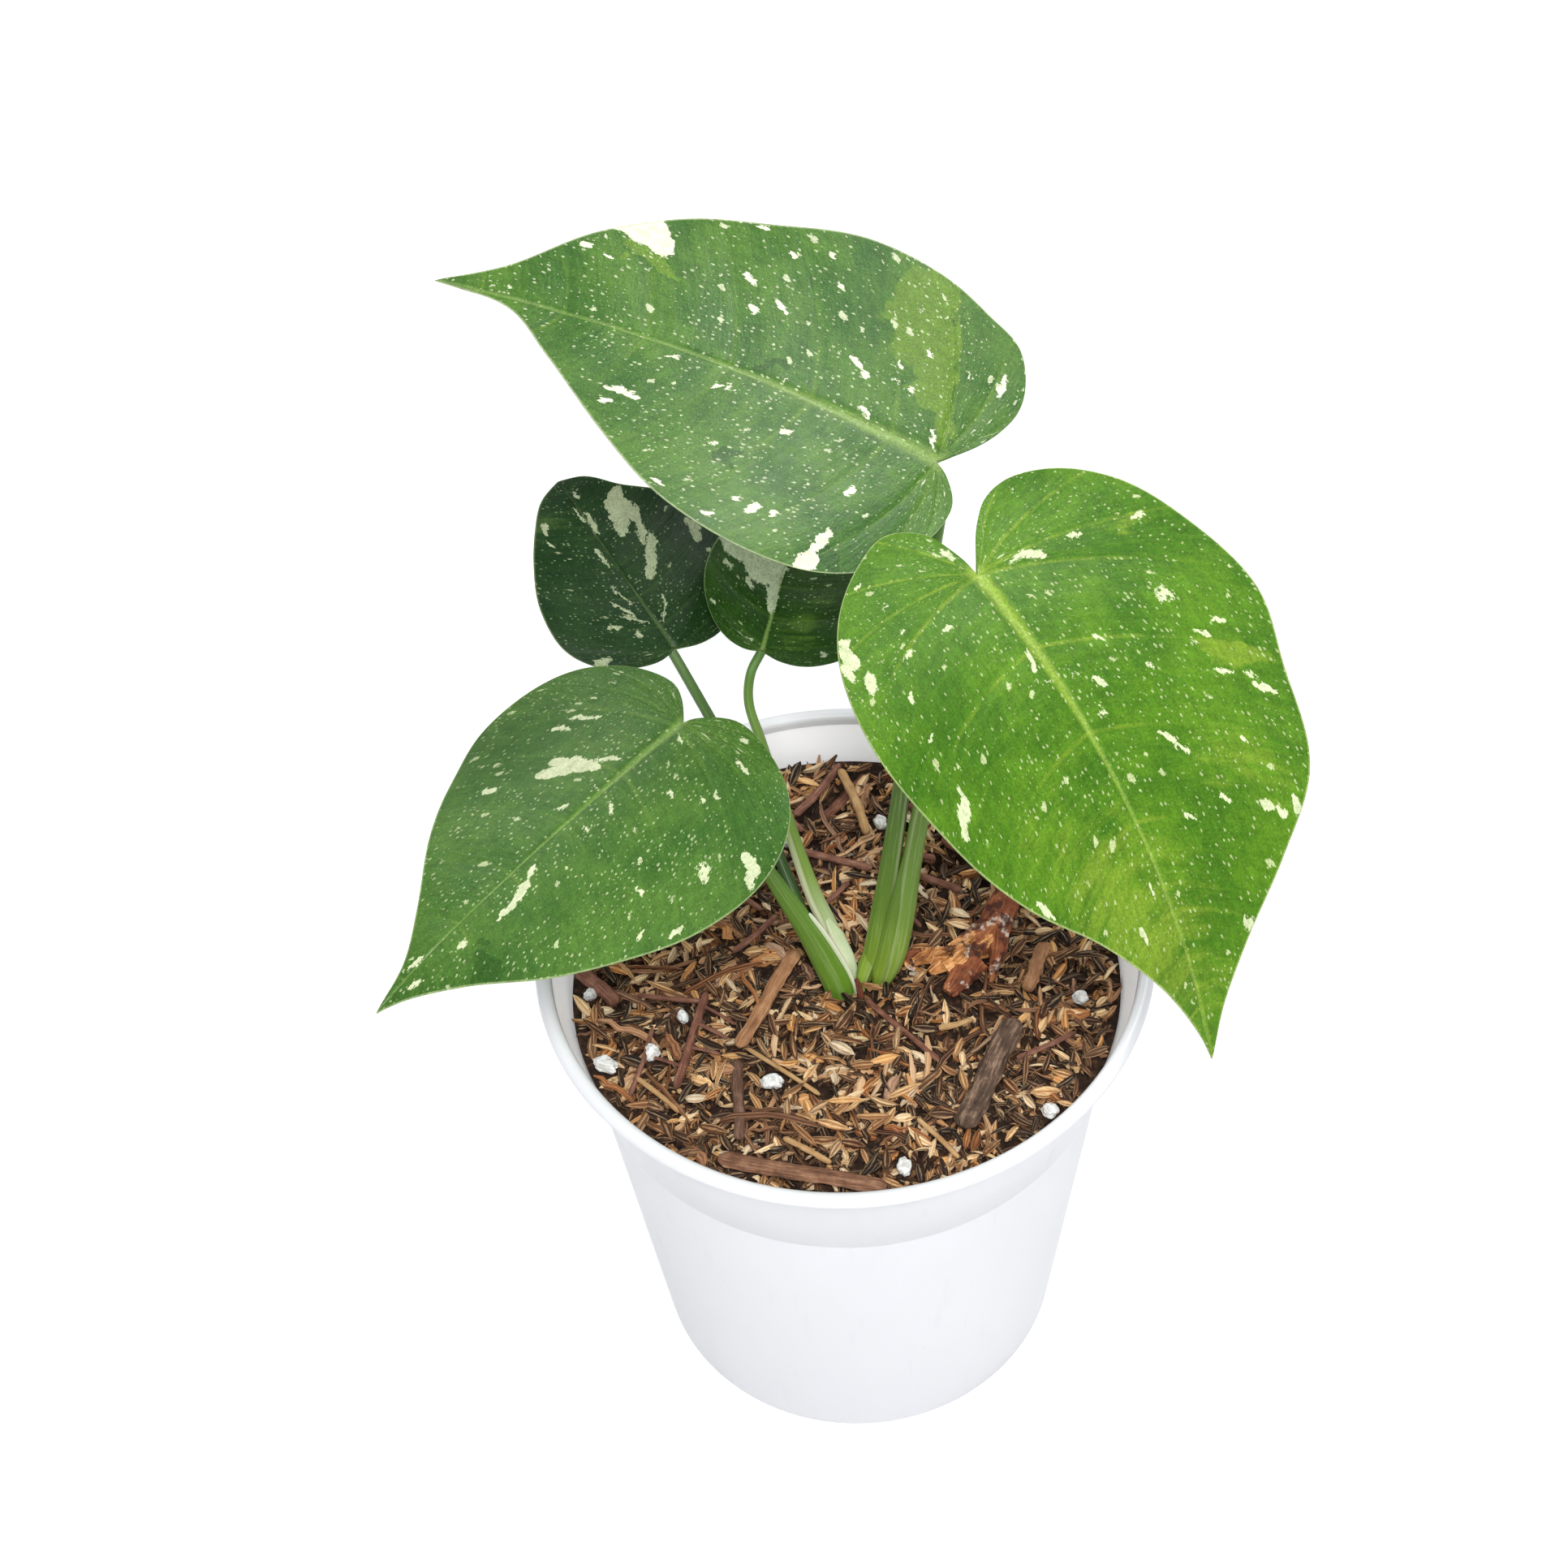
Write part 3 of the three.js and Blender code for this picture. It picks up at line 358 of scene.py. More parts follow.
# Colours of loose pieces by tint, then the colour and the strength of their streaks
# Painted light: the husks' near-black and cream tints are partly their own colours and partly painted shade
# and painted highlights on single husks.
LOOSE_FINISHES = {
    "rice husks": ([(0.0, (0.012, 0.005, 0.003)), (0.3, (0.05, 0.02, 0.01)), (0.5, (0.145, 0.058, 0.022)),
                    (0.68, (0.34, 0.155, 0.06)), (0.84, (0.66, 0.39, 0.17)), (1.0, (0.88, 0.67, 0.42))],
                   (0.88, 0.64, 0.37), 0.3),
    "brown fibres": ([(0.0, (0.035, 0.014, 0.008)), (0.25, (0.15, 0.06, 0.03)), (0.55, (0.38, 0.175, 0.085)),
                      (0.85, (0.64, 0.38, 0.20)), (1.0, (0.76, 0.52, 0.32))], (0.55, 0.33, 0.17), 0.4),
}
# Woods and roots, each as its dark, middle and pale colour
WOODS = {
    "torn woody stem": [(0.06, 0.018, 0.012), (0.27, 0.078, 0.03), (0.60, 0.23, 0.09)],
    "straw sticks": [(0.30, 0.15, 0.06), (0.52, 0.30, 0.13), (0.72, 0.50, 0.26)],
    "brown sticks": [(0.05, 0.018, 0.013), (0.23, 0.095, 0.062), (0.45, 0.24, 0.165)],
    "dull bark": [(0.03, 0.016, 0.012), (0.14, 0.07, 0.045), (0.32, 0.19, 0.13)],
    "pale split wood": [(0.15, 0.065, 0.03), (0.34, 0.16, 0.075), (0.58, 0.34, 0.18)],
    "brown root": [(0.045, 0.016, 0.011), (0.20, 0.078, 0.05), (0.42, 0.20, 0.13)],
    "cracked bark": [(0.014, 0.009, 0.007), (0.10, 0.058, 0.038), (0.38, 0.25, 0.17)],
    "warm bark": [(0.045, 0.018, 0.011), (0.20, 0.09, 0.05), (0.42, 0.24, 0.14)],
    "dried sheath": [(0.05, 0.016, 0.01), (0.20, 0.055, 0.03), (0.38, 0.13, 0.07)],
}
# Grains of perlite: [x, y, half length, half width]
PERLITE = [
    [-20.6, -33.7, 2.9, 2.3], [-52.2, -22.8, 2.6, 2.1], [-64.4, -25.6, 3.3, 2.3], [-68.6, -2.2, 2, 1.6],
    [-43.8, -12, 1.9, 1.5], [51.6, -46.3, 2.3, 1.9], [13, -62, 2.7, 2], [62.2, -10.8, 2.2, 1.8],
    [-14.5, 45.8, 3, 2.2], [11.5, 50, 2.2, 1.8],
]
PERLITE_HALF_HEIGHT = 1.7
PERLITE_LIFT = 0.9
WOOD_PATH = [[46.5, 24.5, 143], [43, 17, 144.4], [39, 9.5, 144.4], [31, 4, 143.4], [22.5, -1.5, 142]]
WOOD_GIRTH = [[0, 3.9, 3.6], [0.45, 4.2, 3.6], [0.75, 3.6, 2.4], [1, 1.2, 0.9]]
# Torn limbs and splinters of the woody piece: path, half width, how torn at each end, end's share of width
WOOD_SPLINTERS = [
    ([[42.5, 15, 145], [41.5, 5, 144.6], [38.5, -5.5, 142]], 3.3, 0.1, 0.35, 0.15),
    ([[38, 9, 143.6], [32, 3, 143.4], [26.5, -0.5, 142.6]], 4.8, 0.62, 0.95, 0.6),
    ([[34.5, 1.5, 142.8], [30.5, -4, 142.2], [27, -7.8, 141.4]], 3.9, 0.5, 0, 0.5),
    ([[28, 2.8, 143.8], [22.5, 2.8, 144.2], [18.2, 1.4, 143.4]], 2.6, 0.75, 1, 0.5),
    ([[35, 5.6, 147], [29, 2.6, 146.8], [23.5, 1.6, 145.4]], 1.1, 0.9, 1, 0.4),
    ([[20.5, 3.8, 144.6], [17.4, 2.8, 145], [16.6, -0.4, 144.4], [18.6, -1.4, 143.4]], 1, 0.5, 0.7, 0.5),
]
SHEATH_PATH = [[4, -6.4, 138.5], [3.6, -5.4, 141], [2.9, -4.2, 144.6]]
SHEATH_GIRTH = [[0, 0.9, 0.45], [0.6, 0.8, 0.4], [1, 0.45, 0.35]]


# Camera, light and floor

def new_object(name, data):
    """A new object in the scene."""
    thing = bpy.data.objects.new(name, data)
    bpy.context.scene.collection.objects.link(thing)
    return thing


def add_camera():
    data = bpy.data.cameras.new("camera")
    data.sensor_width = 36
    data.lens = CAMERA_LENS
    camera = new_object("camera", data)
    right, up = Vector(CAMERA_RIGHT), Vector(CAMERA_UP)
    turn = Matrix((right, up, right.cross(up))).transposed()
    camera.matrix_world = Matrix.Translation(CAMERA_PLACE) @ turn.to_4x4()
    bpy.context.scene.camera = camera


def add_softbox(name, place, target, size, power):
    data = bpy.data.lights.new(name, "AREA")
    data.shape = "DISK"
    data.size = size
    data.energy = power
    lamp = new_object(name, data)
    lamp.location = place
    lamp.rotation_euler = (Vector(target) - Vector(place)).to_track_quat("-Z", "Y").to_euler()


def add_world():
    """A white studio: full white to the camera, softer as light and dim in reflections."""
    world = bpy.data.worlds.new("white studio")
    bpy.context.scene.world = world
    world.use_nodes = True
    tree = Tree(world.node_tree)
    background = world.node_tree.nodes["Background"]
    background.inputs["Color"].default_value = (0.97, 0.985, 1.0, 1)
    ray = tree.add("ShaderNodeLightPath").outputs
    soft = tree.math("MULTIPLY_ADD", ray["Is Glossy Ray"], -0.37, 0.52)
    tree.feed(background.inputs["Strength"], tree.math("MAXIMUM", soft, ray["Is Camera Ray"]))


def add_floor():
    mesh = bpy.data.meshes.new("floor")
    corners = [(x, y, 0) for x, y in ((-4, -4), (4, -4), (4, 4), (-4, 4))]
    mesh.from_pydata(corners, [], [(0, 1, 2, 3)])
    material, tree, shader = new_material("pale floor", Base_Color=(0.8, 0.805, 0.81, 1), Roughness=0.9,
                                          Emission_Color=(1, 1, 1, 1))
    ray = tree.add("ShaderNodeLightPath").outputs
    tree.feed(shader.inputs["Emission Strength"], tree.math("MULTIPLY", ray["Is Camera Ray"], 0.3))
    mesh.materials.append(material)
    floor = new_object("floor", mesh)


def set_stage():
    bpy.context.scene.view_settings.view_transform = "Standard"
    add_camera()
    add_world()
    add_floor()
    add_softbox("front softbox", (0.06, -0.85, 1.5), (0, 0, 0.15), 0.5, 24)
    add_softbox("back softbox", (0.7, 0.9, 1.7), (0, 0, 0.25), 0.6, 12)
    add_softbox("left softbox", (-0.8, 1.2, 1.15), (0, 0, 0.25), 0.5, 4)


# Building blocks for shader trees

class Tree:
    """Adds nodes to a tree; an input takes a value or another node's socket. space is 2D or 3D."""

    def __init__(self, tree, space="3D"):
        self.tree = tree
        self.space = space

    def feed(self, socket, value):
        if isinstance(value, bpy.types.NodeSocket):
            self.tree.links.new(value, socket)
        elif socket.type == "RGBA":
            socket.default_value = (*value[:3], 1)
        else:
            socket.default_value = value

    def add(self, kind, feeds=(), **settings):
        node = self.tree.nodes.new(kind)
        for key, value in settings.items():
            setattr(node, key, value)
        for key, value in dict(feeds).items():
            self.feed(node.inputs[key], value)
        return node

    def math(self, operation, *values):
        return self.add("ShaderNodeMath", enumerate(values), operation=operation).outputs[0]

    def times(self, first, second):
        return self.math("MULTIPLY", first, second)

    def plus(self, first, second):
        return self.math("ADD", first, second)

    def minus(self, first, second):
        return self.math("SUBTRACT", first, second)

    def inverse(self, value):
        """What is left of one."""
        return self.math("SUBTRACT", 1.0, value)

    def most(self, first, second):
        return self.math("MAXIMUM", first, second)

    def vector(self, operation, *values):
        return self.add("ShaderNodeVectorMath", enumerate(values), operation=operation).outputs[0]

    def shifts(self, vector, scale, detail, roughness):
        """Random shifts either way, up to half a unit along each axis."""
        return self.vector("SUBTRACT", self.noise(vector, scale, detail, roughness, "Color"), (0.5, 0.5, 0.5))

    def strayed(self, vector, shifts, reach):
        """Flat coordinates moved by shifts, up to half of reach either way."""
        return self.vector("ADD", vector, self.vector("MULTIPLY", shifts, (reach, reach, 0.0)))

    def axis(self, vector, name):
        return self.add("ShaderNodeSeparateXYZ", {"Vector": vector}).outputs[name]

    def mix(self, factor, first, second, blend="MIX"):
        node = self.tree.nodes.new("ShaderNodeMix")
        node.data_type = "RGBA"
        node.blend_type = blend
        for name, value in zip(("Factor_Float", "A_Color", "B_Color"), (factor, first, second)):
            self.feed(next(s for s in node.inputs if s.identifier == name), value)
        return next(s for s in node.outputs if s.identifier == "Result_Color")

    def step(self, value, low, high):
        """0 below low, 1 above high, smooth between."""
        feeds = {"Value": value, "From Min": low, "From Max": high}
        return self.add("ShaderNodeMapRange", feeds, interpolation_type="SMOOTHSTEP").outputs[0]

    def fall(self, value, low, high):
        """1 below low, 0 above high, smooth between."""
        return self.inverse(self.step(value, low, high))

    def noise(self, vector, scale, detail=3.0, roughness=0.55, output="Fac"):
        feeds = {"Vector": vector, "Scale": scale, "Detail": detail, "Roughness": roughness}
        return self.add("ShaderNodeTexNoise", feeds, noise_dimensions=self.space).outputs[output]

    def cells(self, vector, scale):
        feeds = {"Vector": vector, "Scale": scale}
        return self.add("ShaderNodeTexVoronoi", feeds, voronoi_dimensions=self.space)

    def stretch(self, vector, scale):
        return self.add("ShaderNodeMapping", {"Vector": vector, "Scale": scale}).outputs[0]

    def mottled(self, strength, colour, pattern, dark):
        """A colour darkened and lightened by a pattern."""
        grey = self.mix(pattern, (dark, dark, dark), (1 - dark, 1 - dark, 1 - dark))
        return self.mix(strength, colour, grey, "OVERLAY")

    def uv(self, name):
        return self.add("ShaderNodeUVMap", uv_map=name).outputs[0]

    def attribute(self, name):
        return self.add("ShaderNodeAttribute", attribute_name=name).outputs["Fac"]

    def ramp(self, value, stops):
        node = self.add("ShaderNodeValToRGB", {"Fac": value})
        elements = node.color_ramp.elements
        while len(elements) < len(stops):
            elements.new(0.5)
        for element, (place, colour) in zip(elements, stops):
            element.position = place
            element.color = (*colour, 1)
        return node.outputs[0]

    def place(self):
        return self.add("ShaderNodeTexCoord").outputs["Object"]


def new_group(name, inputs, outputs):
    """A shader node group with named sockets: its tree, its inputs by name, and its output node."""
    group = bpy.data.node_groups.new(name, "ShaderNodeTree")
    for label, kind, default in inputs:
        socket = group.interface.new_socket(name=label, in_out="INPUT", socket_type=kind)
        if default is not None:
            socket.default_value = default
    for label, kind in outputs:
        group.interface.new_socket(name=label, in_out="OUTPUT", socket_type=kind)
    tree = Tree(group, "2D")
    inside = group.nodes.new("NodeGroupInput").outputs
    result = group.nodes.new("NodeGroupOutput")
    return group, tree, inside, result


def new_material(name, space="3D", **constants):
    """A material with a Principled shader whose constant values are set on its own sockets."""
    material = bpy.data.materials.new(name)
    material.use_nodes = True
    tree = Tree(material.node_tree, space)
    shader = material.node_tree.nodes["Principled BSDF"]
    for label, value in constants.items():
        shader.inputs[label.replace("_", " ")].default_value = value
    return material, tree, shader


def add_bump(tree, shader, height, distance, strength=1.0):
    feeds = {"Height": height, "Distance": distance, "Strength": strength}
    tree.feed(shader.inputs["Normal"], tree.add("ShaderNodeBump", feeds).outputs[0])


def coat(tree, shader, colour, roughness):
    """Gives a shader its colour and its roughness."""
    tree.feed(shader.inputs["Base Color"], colour)
    tree.feed(shader.inputs["Roughness"], roughness)


# Leaf finishes

def fleck_group():
    """Cream flecks that lie along the veins, in cells of one size; share is how many cells hold one."""
    inputs = [("Flow", VECTOR, None), ("Shake", VECTOR, None), ("Cell", FLOAT, 3.0), ("Stretch", FLOAT, 0.5),
              ("Share", FLOAT, 0.5), ("Size", FLOAT, 0.2), ("Ragged", FLOAT, 0.3)]
    group, tree, inside, result = new_group("flecks along the veins", inputs, [("Mask", FLOAT)])
    scale = tree.math("DIVIDE", 1.0, inside["Cell"])
    across = tree.add("ShaderNodeCombineXYZ", {"X": 1.0, "Y": inside["Stretch"], "Z": 1.0}).outputs[0]
    flow = tree.vector("MULTIPLY", inside["Flow"], across)
    reach = tree.times(inside["Ragged"], inside["Cell"])
    spread = tree.add("ShaderNodeCombineXYZ", {"X": reach, "Y": reach, "Z": 0.0}).outputs[0]
    shaken = tree.vector("ADD", flow, tree.vector("MULTIPLY", inside["Shake"], spread))
    cells = tree.cells(shaken, scale)
    colour = tree.add("ShaderNodeSeparateColor", {"Color": cells.outputs["Color"]})
    chosen = tree.math("LESS_THAN", colour.outputs[0], inside["Share"])
    luck = tree.math("POWER", colour.outputs[1], 2.2)
    size = tree.times(inside["Size"], tree.plus(tree.times(luck, 1.6), 0.3))
    inner = tree.times(size, 0.75)
    near = tree.fall(cells.outputs["Distance"], inner, size)
    tree.feed(result.inputs["Mask"], tree.times(near, chosen))
    return group


def blade_group(flecks):
    """Colour, roughness and height of a blade: greens, veins, midrib, margin, flecks and marks."""
    inputs = [(label, COLOUR, None) for label in ("Deep", "Bright", "Yellow", "Cream", "Rib")]
    inputs += [("Marks", FLOAT, 0.0), ("Field", FLOAT, 0.0), ("Dusting", FLOAT, 0.5),
               ("Vein strength", FLOAT, 0.5)]
    outputs = [("Color", COLOUR), ("Roughness", FLOAT), ("Height", FLOAT)]
    group, tree, inside, result = new_group("variegated blade", inputs, outputs)
    flow, flat = tree.uv("flow"), tree.uv("flat")
    rib_gap, vein_gap, edge_gap = (tree.attribute(name) for name in ("rib_gap", "vein_gap", "edge_gap"))

    # Greens: broad clouds, streaks along the veins and the yellower fields
    clouds = tree.step(tree.noise(flat, 0.045, 3.0), 0.32, 0.68)
    streaks = tree.noise(tree.stretch(flow, (0.9, 0.09, 1)), 1.0, 4.0, 0.65)
    streaky = tree.times(tree.step(streaks, 0.3, 0.7), 0.4)
    tone = tree.plus(tree.times(clouds, 0.6), streaky)
    green = tree.mix(tone, inside["Deep"], inside["Bright"])
    cut = tree.noise(tree.stretch(flow, (0.5, 0.05, 1)), 1.0, 3.0, 0.7)
    lighter = tree.plus(inside["Field"], tree.times(tree.minus(cut, 0.5), 0.8))
    yellow = tree.times(tree.step(lighter, 0.25, 0.6), 0.5)
    yellow = tree.times(yellow, tree.step(inside["Field"], 0.02, 0.15))
    green = tree.mix(yellow, green, inside["Yellow"])
    deeper = tree.step(tree.times(inside["Field"], -1.0), 0.3, 0.4)
    deepest = tree.mix(0.5, inside["Deep"], (0.0, 0.03, 0.0))
    green = tree.mix(tree.times(deeper, 0.6), green, deepest)

    # Side veins
    line = tree.fall(vein_gap, 0.1, 0.85)
    line = tree.times(line, tree.step(tree.noise(flow, 0.12, 2.0), 0.25, 0.6))
    near = tree.inverse(tree.times(tree.step(rib_gap, 3.0, 34.0), 0.8))
    line = tree.times(line, near)
    green = tree.mix(tree.times(line, inside["Vein strength"]), green, inside["Yellow"])

    # Midrib, palest along its middle
    rib = tree.fall(rib_gap, 0.1, 1.5)
    rib_streak = tree.step(tree.noise(tree.stretch(flat, (0.05, 2.5, 1)), 1.0, 3.0), 0.3, 0.7)
    rib_tone = tree.mix(tree.times(rib_streak, 0.15), inside["Rib"], inside["Cream"])
    fading = tree.minus(0.85, tree.times(tree.step(tree.axis(flat, "X"), 10.0, 75.0), 0.4))
    rib = tree.times(rib, fading)
    green = tree.mix(rib, green, rib_tone)

    # Pale dust, small flecks and middling dabs, more of them in some places than in others
    crowd = tree.step(tree.noise(flat, 0.06, 2.0), 0.25, 0.75)
    crowd = tree.plus(0.45, tree.times(crowd, 1.1))
    layers = []
    shake = tree.shifts(tree.stretch(flow, (1.0, 0.5, 1)), 1.6, 3.0, 0.7)
    for cell, stretch, share, size, ragged in FLECK_LAYERS:
        shared = tree.times(tree.times(crowd, share), inside["Dusting"])
        feeds = {"Flow": flow, "Shake": shake, "Cell": cell, "Stretch": stretch, "Share": shared,
                 "Size": size, "Ragged": ragged}
        layers.append(tree.add("ShaderNodeGroup", feeds, node_tree=flecks).outputs[0])
    dust, small, dabs, large = layers
    speck = tree.mix(0.6, inside["Yellow"], inside["Cream"])
    colour = tree.mix(tree.times(dust, 0.62), green, speck)
    colour = tree.mix(tree.times(small, 0.85), colour, speck)
    marks = tree.step(inside["Marks"], 0.42, 0.45)
    pale = tree.most(tree.most(dabs, large), marks)
    veil = tree.step(tree.noise(flat, 0.35, 4.0, 0.7), 0.3, 0.7)
    greenish = tree.mix(0.45, inside["Cream"], inside["Bright"])
    cream = tree.mix(tree.times(veil, 0.35), inside["Cream"], greenish)
    colour = tree.mix(tree.times(pale, 0.93), colour, cream)

    # Thin pale margin
    rim = tree.fall(edge_gap, 0.12, 0.5)
    margin = tree.mix(0.4, inside["Yellow"], inside["Cream"])
    colour = tree.mix(tree.times(rim, 0.6), colour, margin)

    # Fine grain of the skin
    grain = tree.noise(flat, 1.5, 3.0, 0.7)
    veined = tree.times(tree.noise(flow, 0.5, 3.0, 0.7), 0.4)
    mottle = tree.step(tree.plus(tree.times(grain, 0.6), veined), 0.3, 0.7)
    tree.feed(result.inputs["Color"], tree.mottled(0.55, colour, mottle, 0.26))
    rough = tree.plus(0.28, tree.times(tree.noise(flat, 0.2, 4.0, 0.6), 0.16))
    tree.feed(result.inputs["Roughness"], tree.plus(rough, tree.times(pale, 0.08)))
    height = tree.plus(tree.times(streaks, 0.5), tree.times(grain, 0.3))
    tree.feed(result.inputs["Height"], height)
    return group


def blotches(tree, vector, marks, swell):
    """1 at the middle of each elongated mark and 0 outside it; swell enlarges the marks."""
    total = None
    for along, across, length, width, turn in marks:
        feeds = {"Vector": vector, "Location": (along, across, 0), "Rotation": (0, 0, math.radians(turn)),
                 "Scale": (0.5 * swell * length, 0.5 * swell * width, 1)}
        local = tree.add("ShaderNodeMapping", feeds, vector_type="TEXTURE").outputs[0]
        ball = tree.add("ShaderNodeTexGradient", {"Vector": local}, gradient_type="SPHERICAL").outputs["Fac"]
        total = ball if total is None else tree.most(total, ball)
    return total


def blade_material(name, blade, gloss, dusting, veins):
    """One leaf's blade: the shared variegation with this leaf's own greens, marks and fields."""
    material, tree, shader = new_material(name.replace("_", " ") + " blade", "2D", Specular_IOR_Level=gloss)
    flat = tree.uv("flat")
    torn = tree.strayed(flat, tree.shifts(tree.uv("flow"), 0.55, 4.0, 0.7), 3.4)
    adrift = tree.strayed(flat, tree.shifts(flat, 0.09, 3.0, 0.6), 14.0)
    field = 0.0
    for along, across, length, width, turn, lighter in GREEN_FIELDS[name]:
        ball = blotches(tree, adrift, [[along, across, length, width, turn]], 1.5)
        field = tree.plus(field, tree.times(ball, 1.8 * lighter))
    feeds = dict(zip(("Deep", "Bright", "Yellow", "Cream", "Rib"), BLADE_COLOURS[name]))
    feeds.update({"Marks": blotches(tree, torn, CREAM_MARKS[name], 1.6), "Field": field,
                  "Dusting": dusting, "Vein strength": veins})
    group = tree.add("ShaderNodeGroup", feeds, node_tree=blade)
    coat(tree, shader, group.outputs["Color"], group.outputs["Roughness"])
    add_bump(tree, shader, group.outputs["Height"], 0.0004, 0.6)
    return material


def stalk_material(name):
    """A stalk: paler and yellower at its foot, with fine pale ridges and one pale band along it."""
    material, tree, shader = new_material(name.replace("_", " ") + " stalk", "2D", Specular_IOR_Level=0.4)
    foot, middle, top, ridge, (centre, half_width, strength, fade) = STALK_COLOURS[name]
    lengthwise = tree.uv("flow")
    height = tree.math("DIVIDE", tree.axis(lengthwise, "Y"), 100.0)
    colour = tree.ramp(height, [(0.0, foot), (0.35, middle), (1.0, top)])
    streak = tree.noise(tree.stretch(lengthwise, (1.6, 0.03, 1)), 1.0, 4.0, 0.6)
    colour = tree.mix(tree.times(tree.step(streak, 0.5, 0.72), 0.55), colour, ridge)
    colour = tree.mix(tree.times(tree.step(streak, 0.46, 0.25), 0.35), colour, middle)
    aside = tree.math("ABSOLUTE", tree.minus(tree.axis(lengthwise, "X"), centre))
    aside = tree.plus(aside, tree.times(tree.minus(streak, 0.5), half_width))
    stripe = tree.fall(aside, 0.55 * half_width, half_width)
    stripe = tree.times(stripe, tree.fall(height, 0.5 * fade, fade))
    colour = tree.mix(tree.times(stripe, strength), colour, (0.66, 0.68, 0.44))
    fine = tree.noise(tree.stretch(lengthwise, (1.0, 0.6, 1)), 2.6, 3.0, 0.6)
    colour = tree.mottled(0.25, colour, fine, 0.3)
    coat(tree, shader, colour, tree.plus(0.34, tree.times(fine, 0.14)))
    add_bump(tree, shader, tree.plus(streak, tree.times(fine, 0.3)), 0.0003, 0.5)
    return material


# Building blocks for meshes

def smooth_curve(corners, steps=24):
    """Centripetal curve through the corners, as many short steps."""
    p = np.array(corners, float)
    p = np.vstack([2 * p[0] - p[1], p, 2 * p[-1] - p[-2]])
    share = np.arange(steps)[:, None] / steps
    spans = []
    for a, b, c, d in zip(p, p[1:], p[2:], p[3:]):
        ab, bc, cd = (np.linalg.norm(v) ** 0.5 for v in (b - a, c - b, d - c))
        start = ((b - a) / ab - (c - a) / (ab + bc) + (c - b) / bc) * bc
        end = ((c - b) / bc - (d - b) / (bc + cd) + (d - c) / cd) * bc
        bow = 3 * (c - b) - 2 * start - end
        curl = 2 * (b - c) + start + end
        spans.append(b + start * share + bow * share**2 + curl * share**3)
    spans.append(p[-2:-1])
    return np.vstack(spans)


def even_steps(curve, count):
    """Points at equal distances along a curve."""
    travelled = np.concatenate([[0], np.cumsum(np.linalg.norm(np.diff(curve, axis=0), axis=1))])
    wanted = np.linspace(0, travelled[-1], count + 1)
    return np.stack([np.interp(wanted, travelled, axis) for axis in curve.T], 1)


class Skin:
    """Collects grids of points in millimetres, with their UV maps and attributes, for one mesh."""

    def __init__(self, maps=(), gaps=()):
        self.points = []
        self.faces = []
        self.slots = []
        self.maps = {name: [] for name in maps}
        self.gaps = {name: [] for name in gaps}
        self.count = 0

    def grid(self, points, slot=FACE, flip=False, **values):
        """Adds a grid of faces; values holds its coordinates and distances by name."""
        rows, columns = points.shape[:2]
        index = self.count + np.arange(rows * columns).reshape(rows, columns)
        quads = np.stack([index[:-1, :-1], index[1:, :-1], index[1:, 1:], index[:-1, 1:]], -1).reshape(-1, 4)
        self.faces.append(quads[:, ::-1] if flip else quads)
        self.slots.append(np.full(len(quads), slot))
        self.points.append(points.reshape(-1, 3))
        for store, shape in ((self.maps, (rows, columns, 2)), (self.gaps, (rows, columns))):
            for name in store:
                value = np.broadcast_to(values.get(name, FAR), shape)
                store[name].append(value.reshape(rows * columns, -1))
        self.count += rows * columns

    def piece(self, name, materials, sharp=50):
        mesh = bpy.data.meshes.new(name)
        mesh.from_pydata((np.vstack(self.points) * MM).tolist(), [], np.vstack(self.faces).tolist())
        mesh.polygons.foreach_set("material_index", np.concatenate(self.slots).astype(np.int32))
        corner = np.empty(len(mesh.loops), np.int32)
        mesh.loops.foreach_get("vertex_index", corner)
        for label, parts in self.maps.items():
            layer = mesh.uv_layers.new(name=label)
            layer.data.foreach_set("uv", np.vstack(parts)[corner].astype(np.float32).ravel())
        for label, parts in self.gaps.items():
            layer = mesh.attributes.new(label, "FLOAT", "POINT")
            layer.data.foreach_set("value", np.vstack(parts).astype(np.float32).ravel())
        return close_piece(name, mesh, materials, sharp)


def close_piece(name, mesh, materials, sharp=50):
    """Merges equal points, turns the faces outwards and makes the piece."""
    work = bmesh.new()
    work.from_mesh(mesh)
    bmesh.ops.remove_doubles(work, verts=work.verts, dist=1e-6)
    bmesh.ops.dissolve_degenerate(work, edges=work.edges, dist=1e-7)
    bmesh.ops.recalc_face_normals(work, faces=work.faces)
    work.to_mesh(mesh)
    work.free()
    mesh.polygons.foreach_set("use_smooth", np.ones(len(mesh.polygons), bool))
    mesh.set_sharp_from_angle(angle=math.radians(sharp))
    for material in materials:
        mesh.materials.append(material)
    return new_object(name, mesh)


def hand_in(piece, slot, *nodes):
    """Attaches a finished piece to the root body and hides the nodes it stands for; slot is not used."""
    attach(piece, "root")
    if nodes:
        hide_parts(*nodes)


def blend(table, shares):
    """Values of a table of [share, a, b] rows at several shares."""
    rows = np.array(table, float)
    return [np.interp(shares, rows[:, 0], column) for column in rows[:, 1:].T]


def tube_rings(path, sides, swell):
    """Rings of points round a path; swell(share, turn) gives half width and half depth."""
    steps = len(path) - 1
    tangent = np.gradient(path, axis=0)
    tangent /= np.linalg.norm(tangent, axis=1, keepdims=True)
    side = np.array([1.0, 0, 0]) - tangent * tangent[:, :1]
    side /= np.linalg.norm(side, axis=1, keepdims=True)
    front = np.cross(tangent, side)
    share = np.linspace(0, 1, steps + 1)[:, None]
    turn = np.linspace(0, 2 * np.pi, sides + 1)[None, :]
    half_width, half_depth = swell(share, turn)
    out = side[:, None] * (np.cos(turn) * half_width)[..., None]
    out += front[:, None] * (np.sin(turn) * half_depth)[..., None]
    return capped(path, path[:, None] + out)


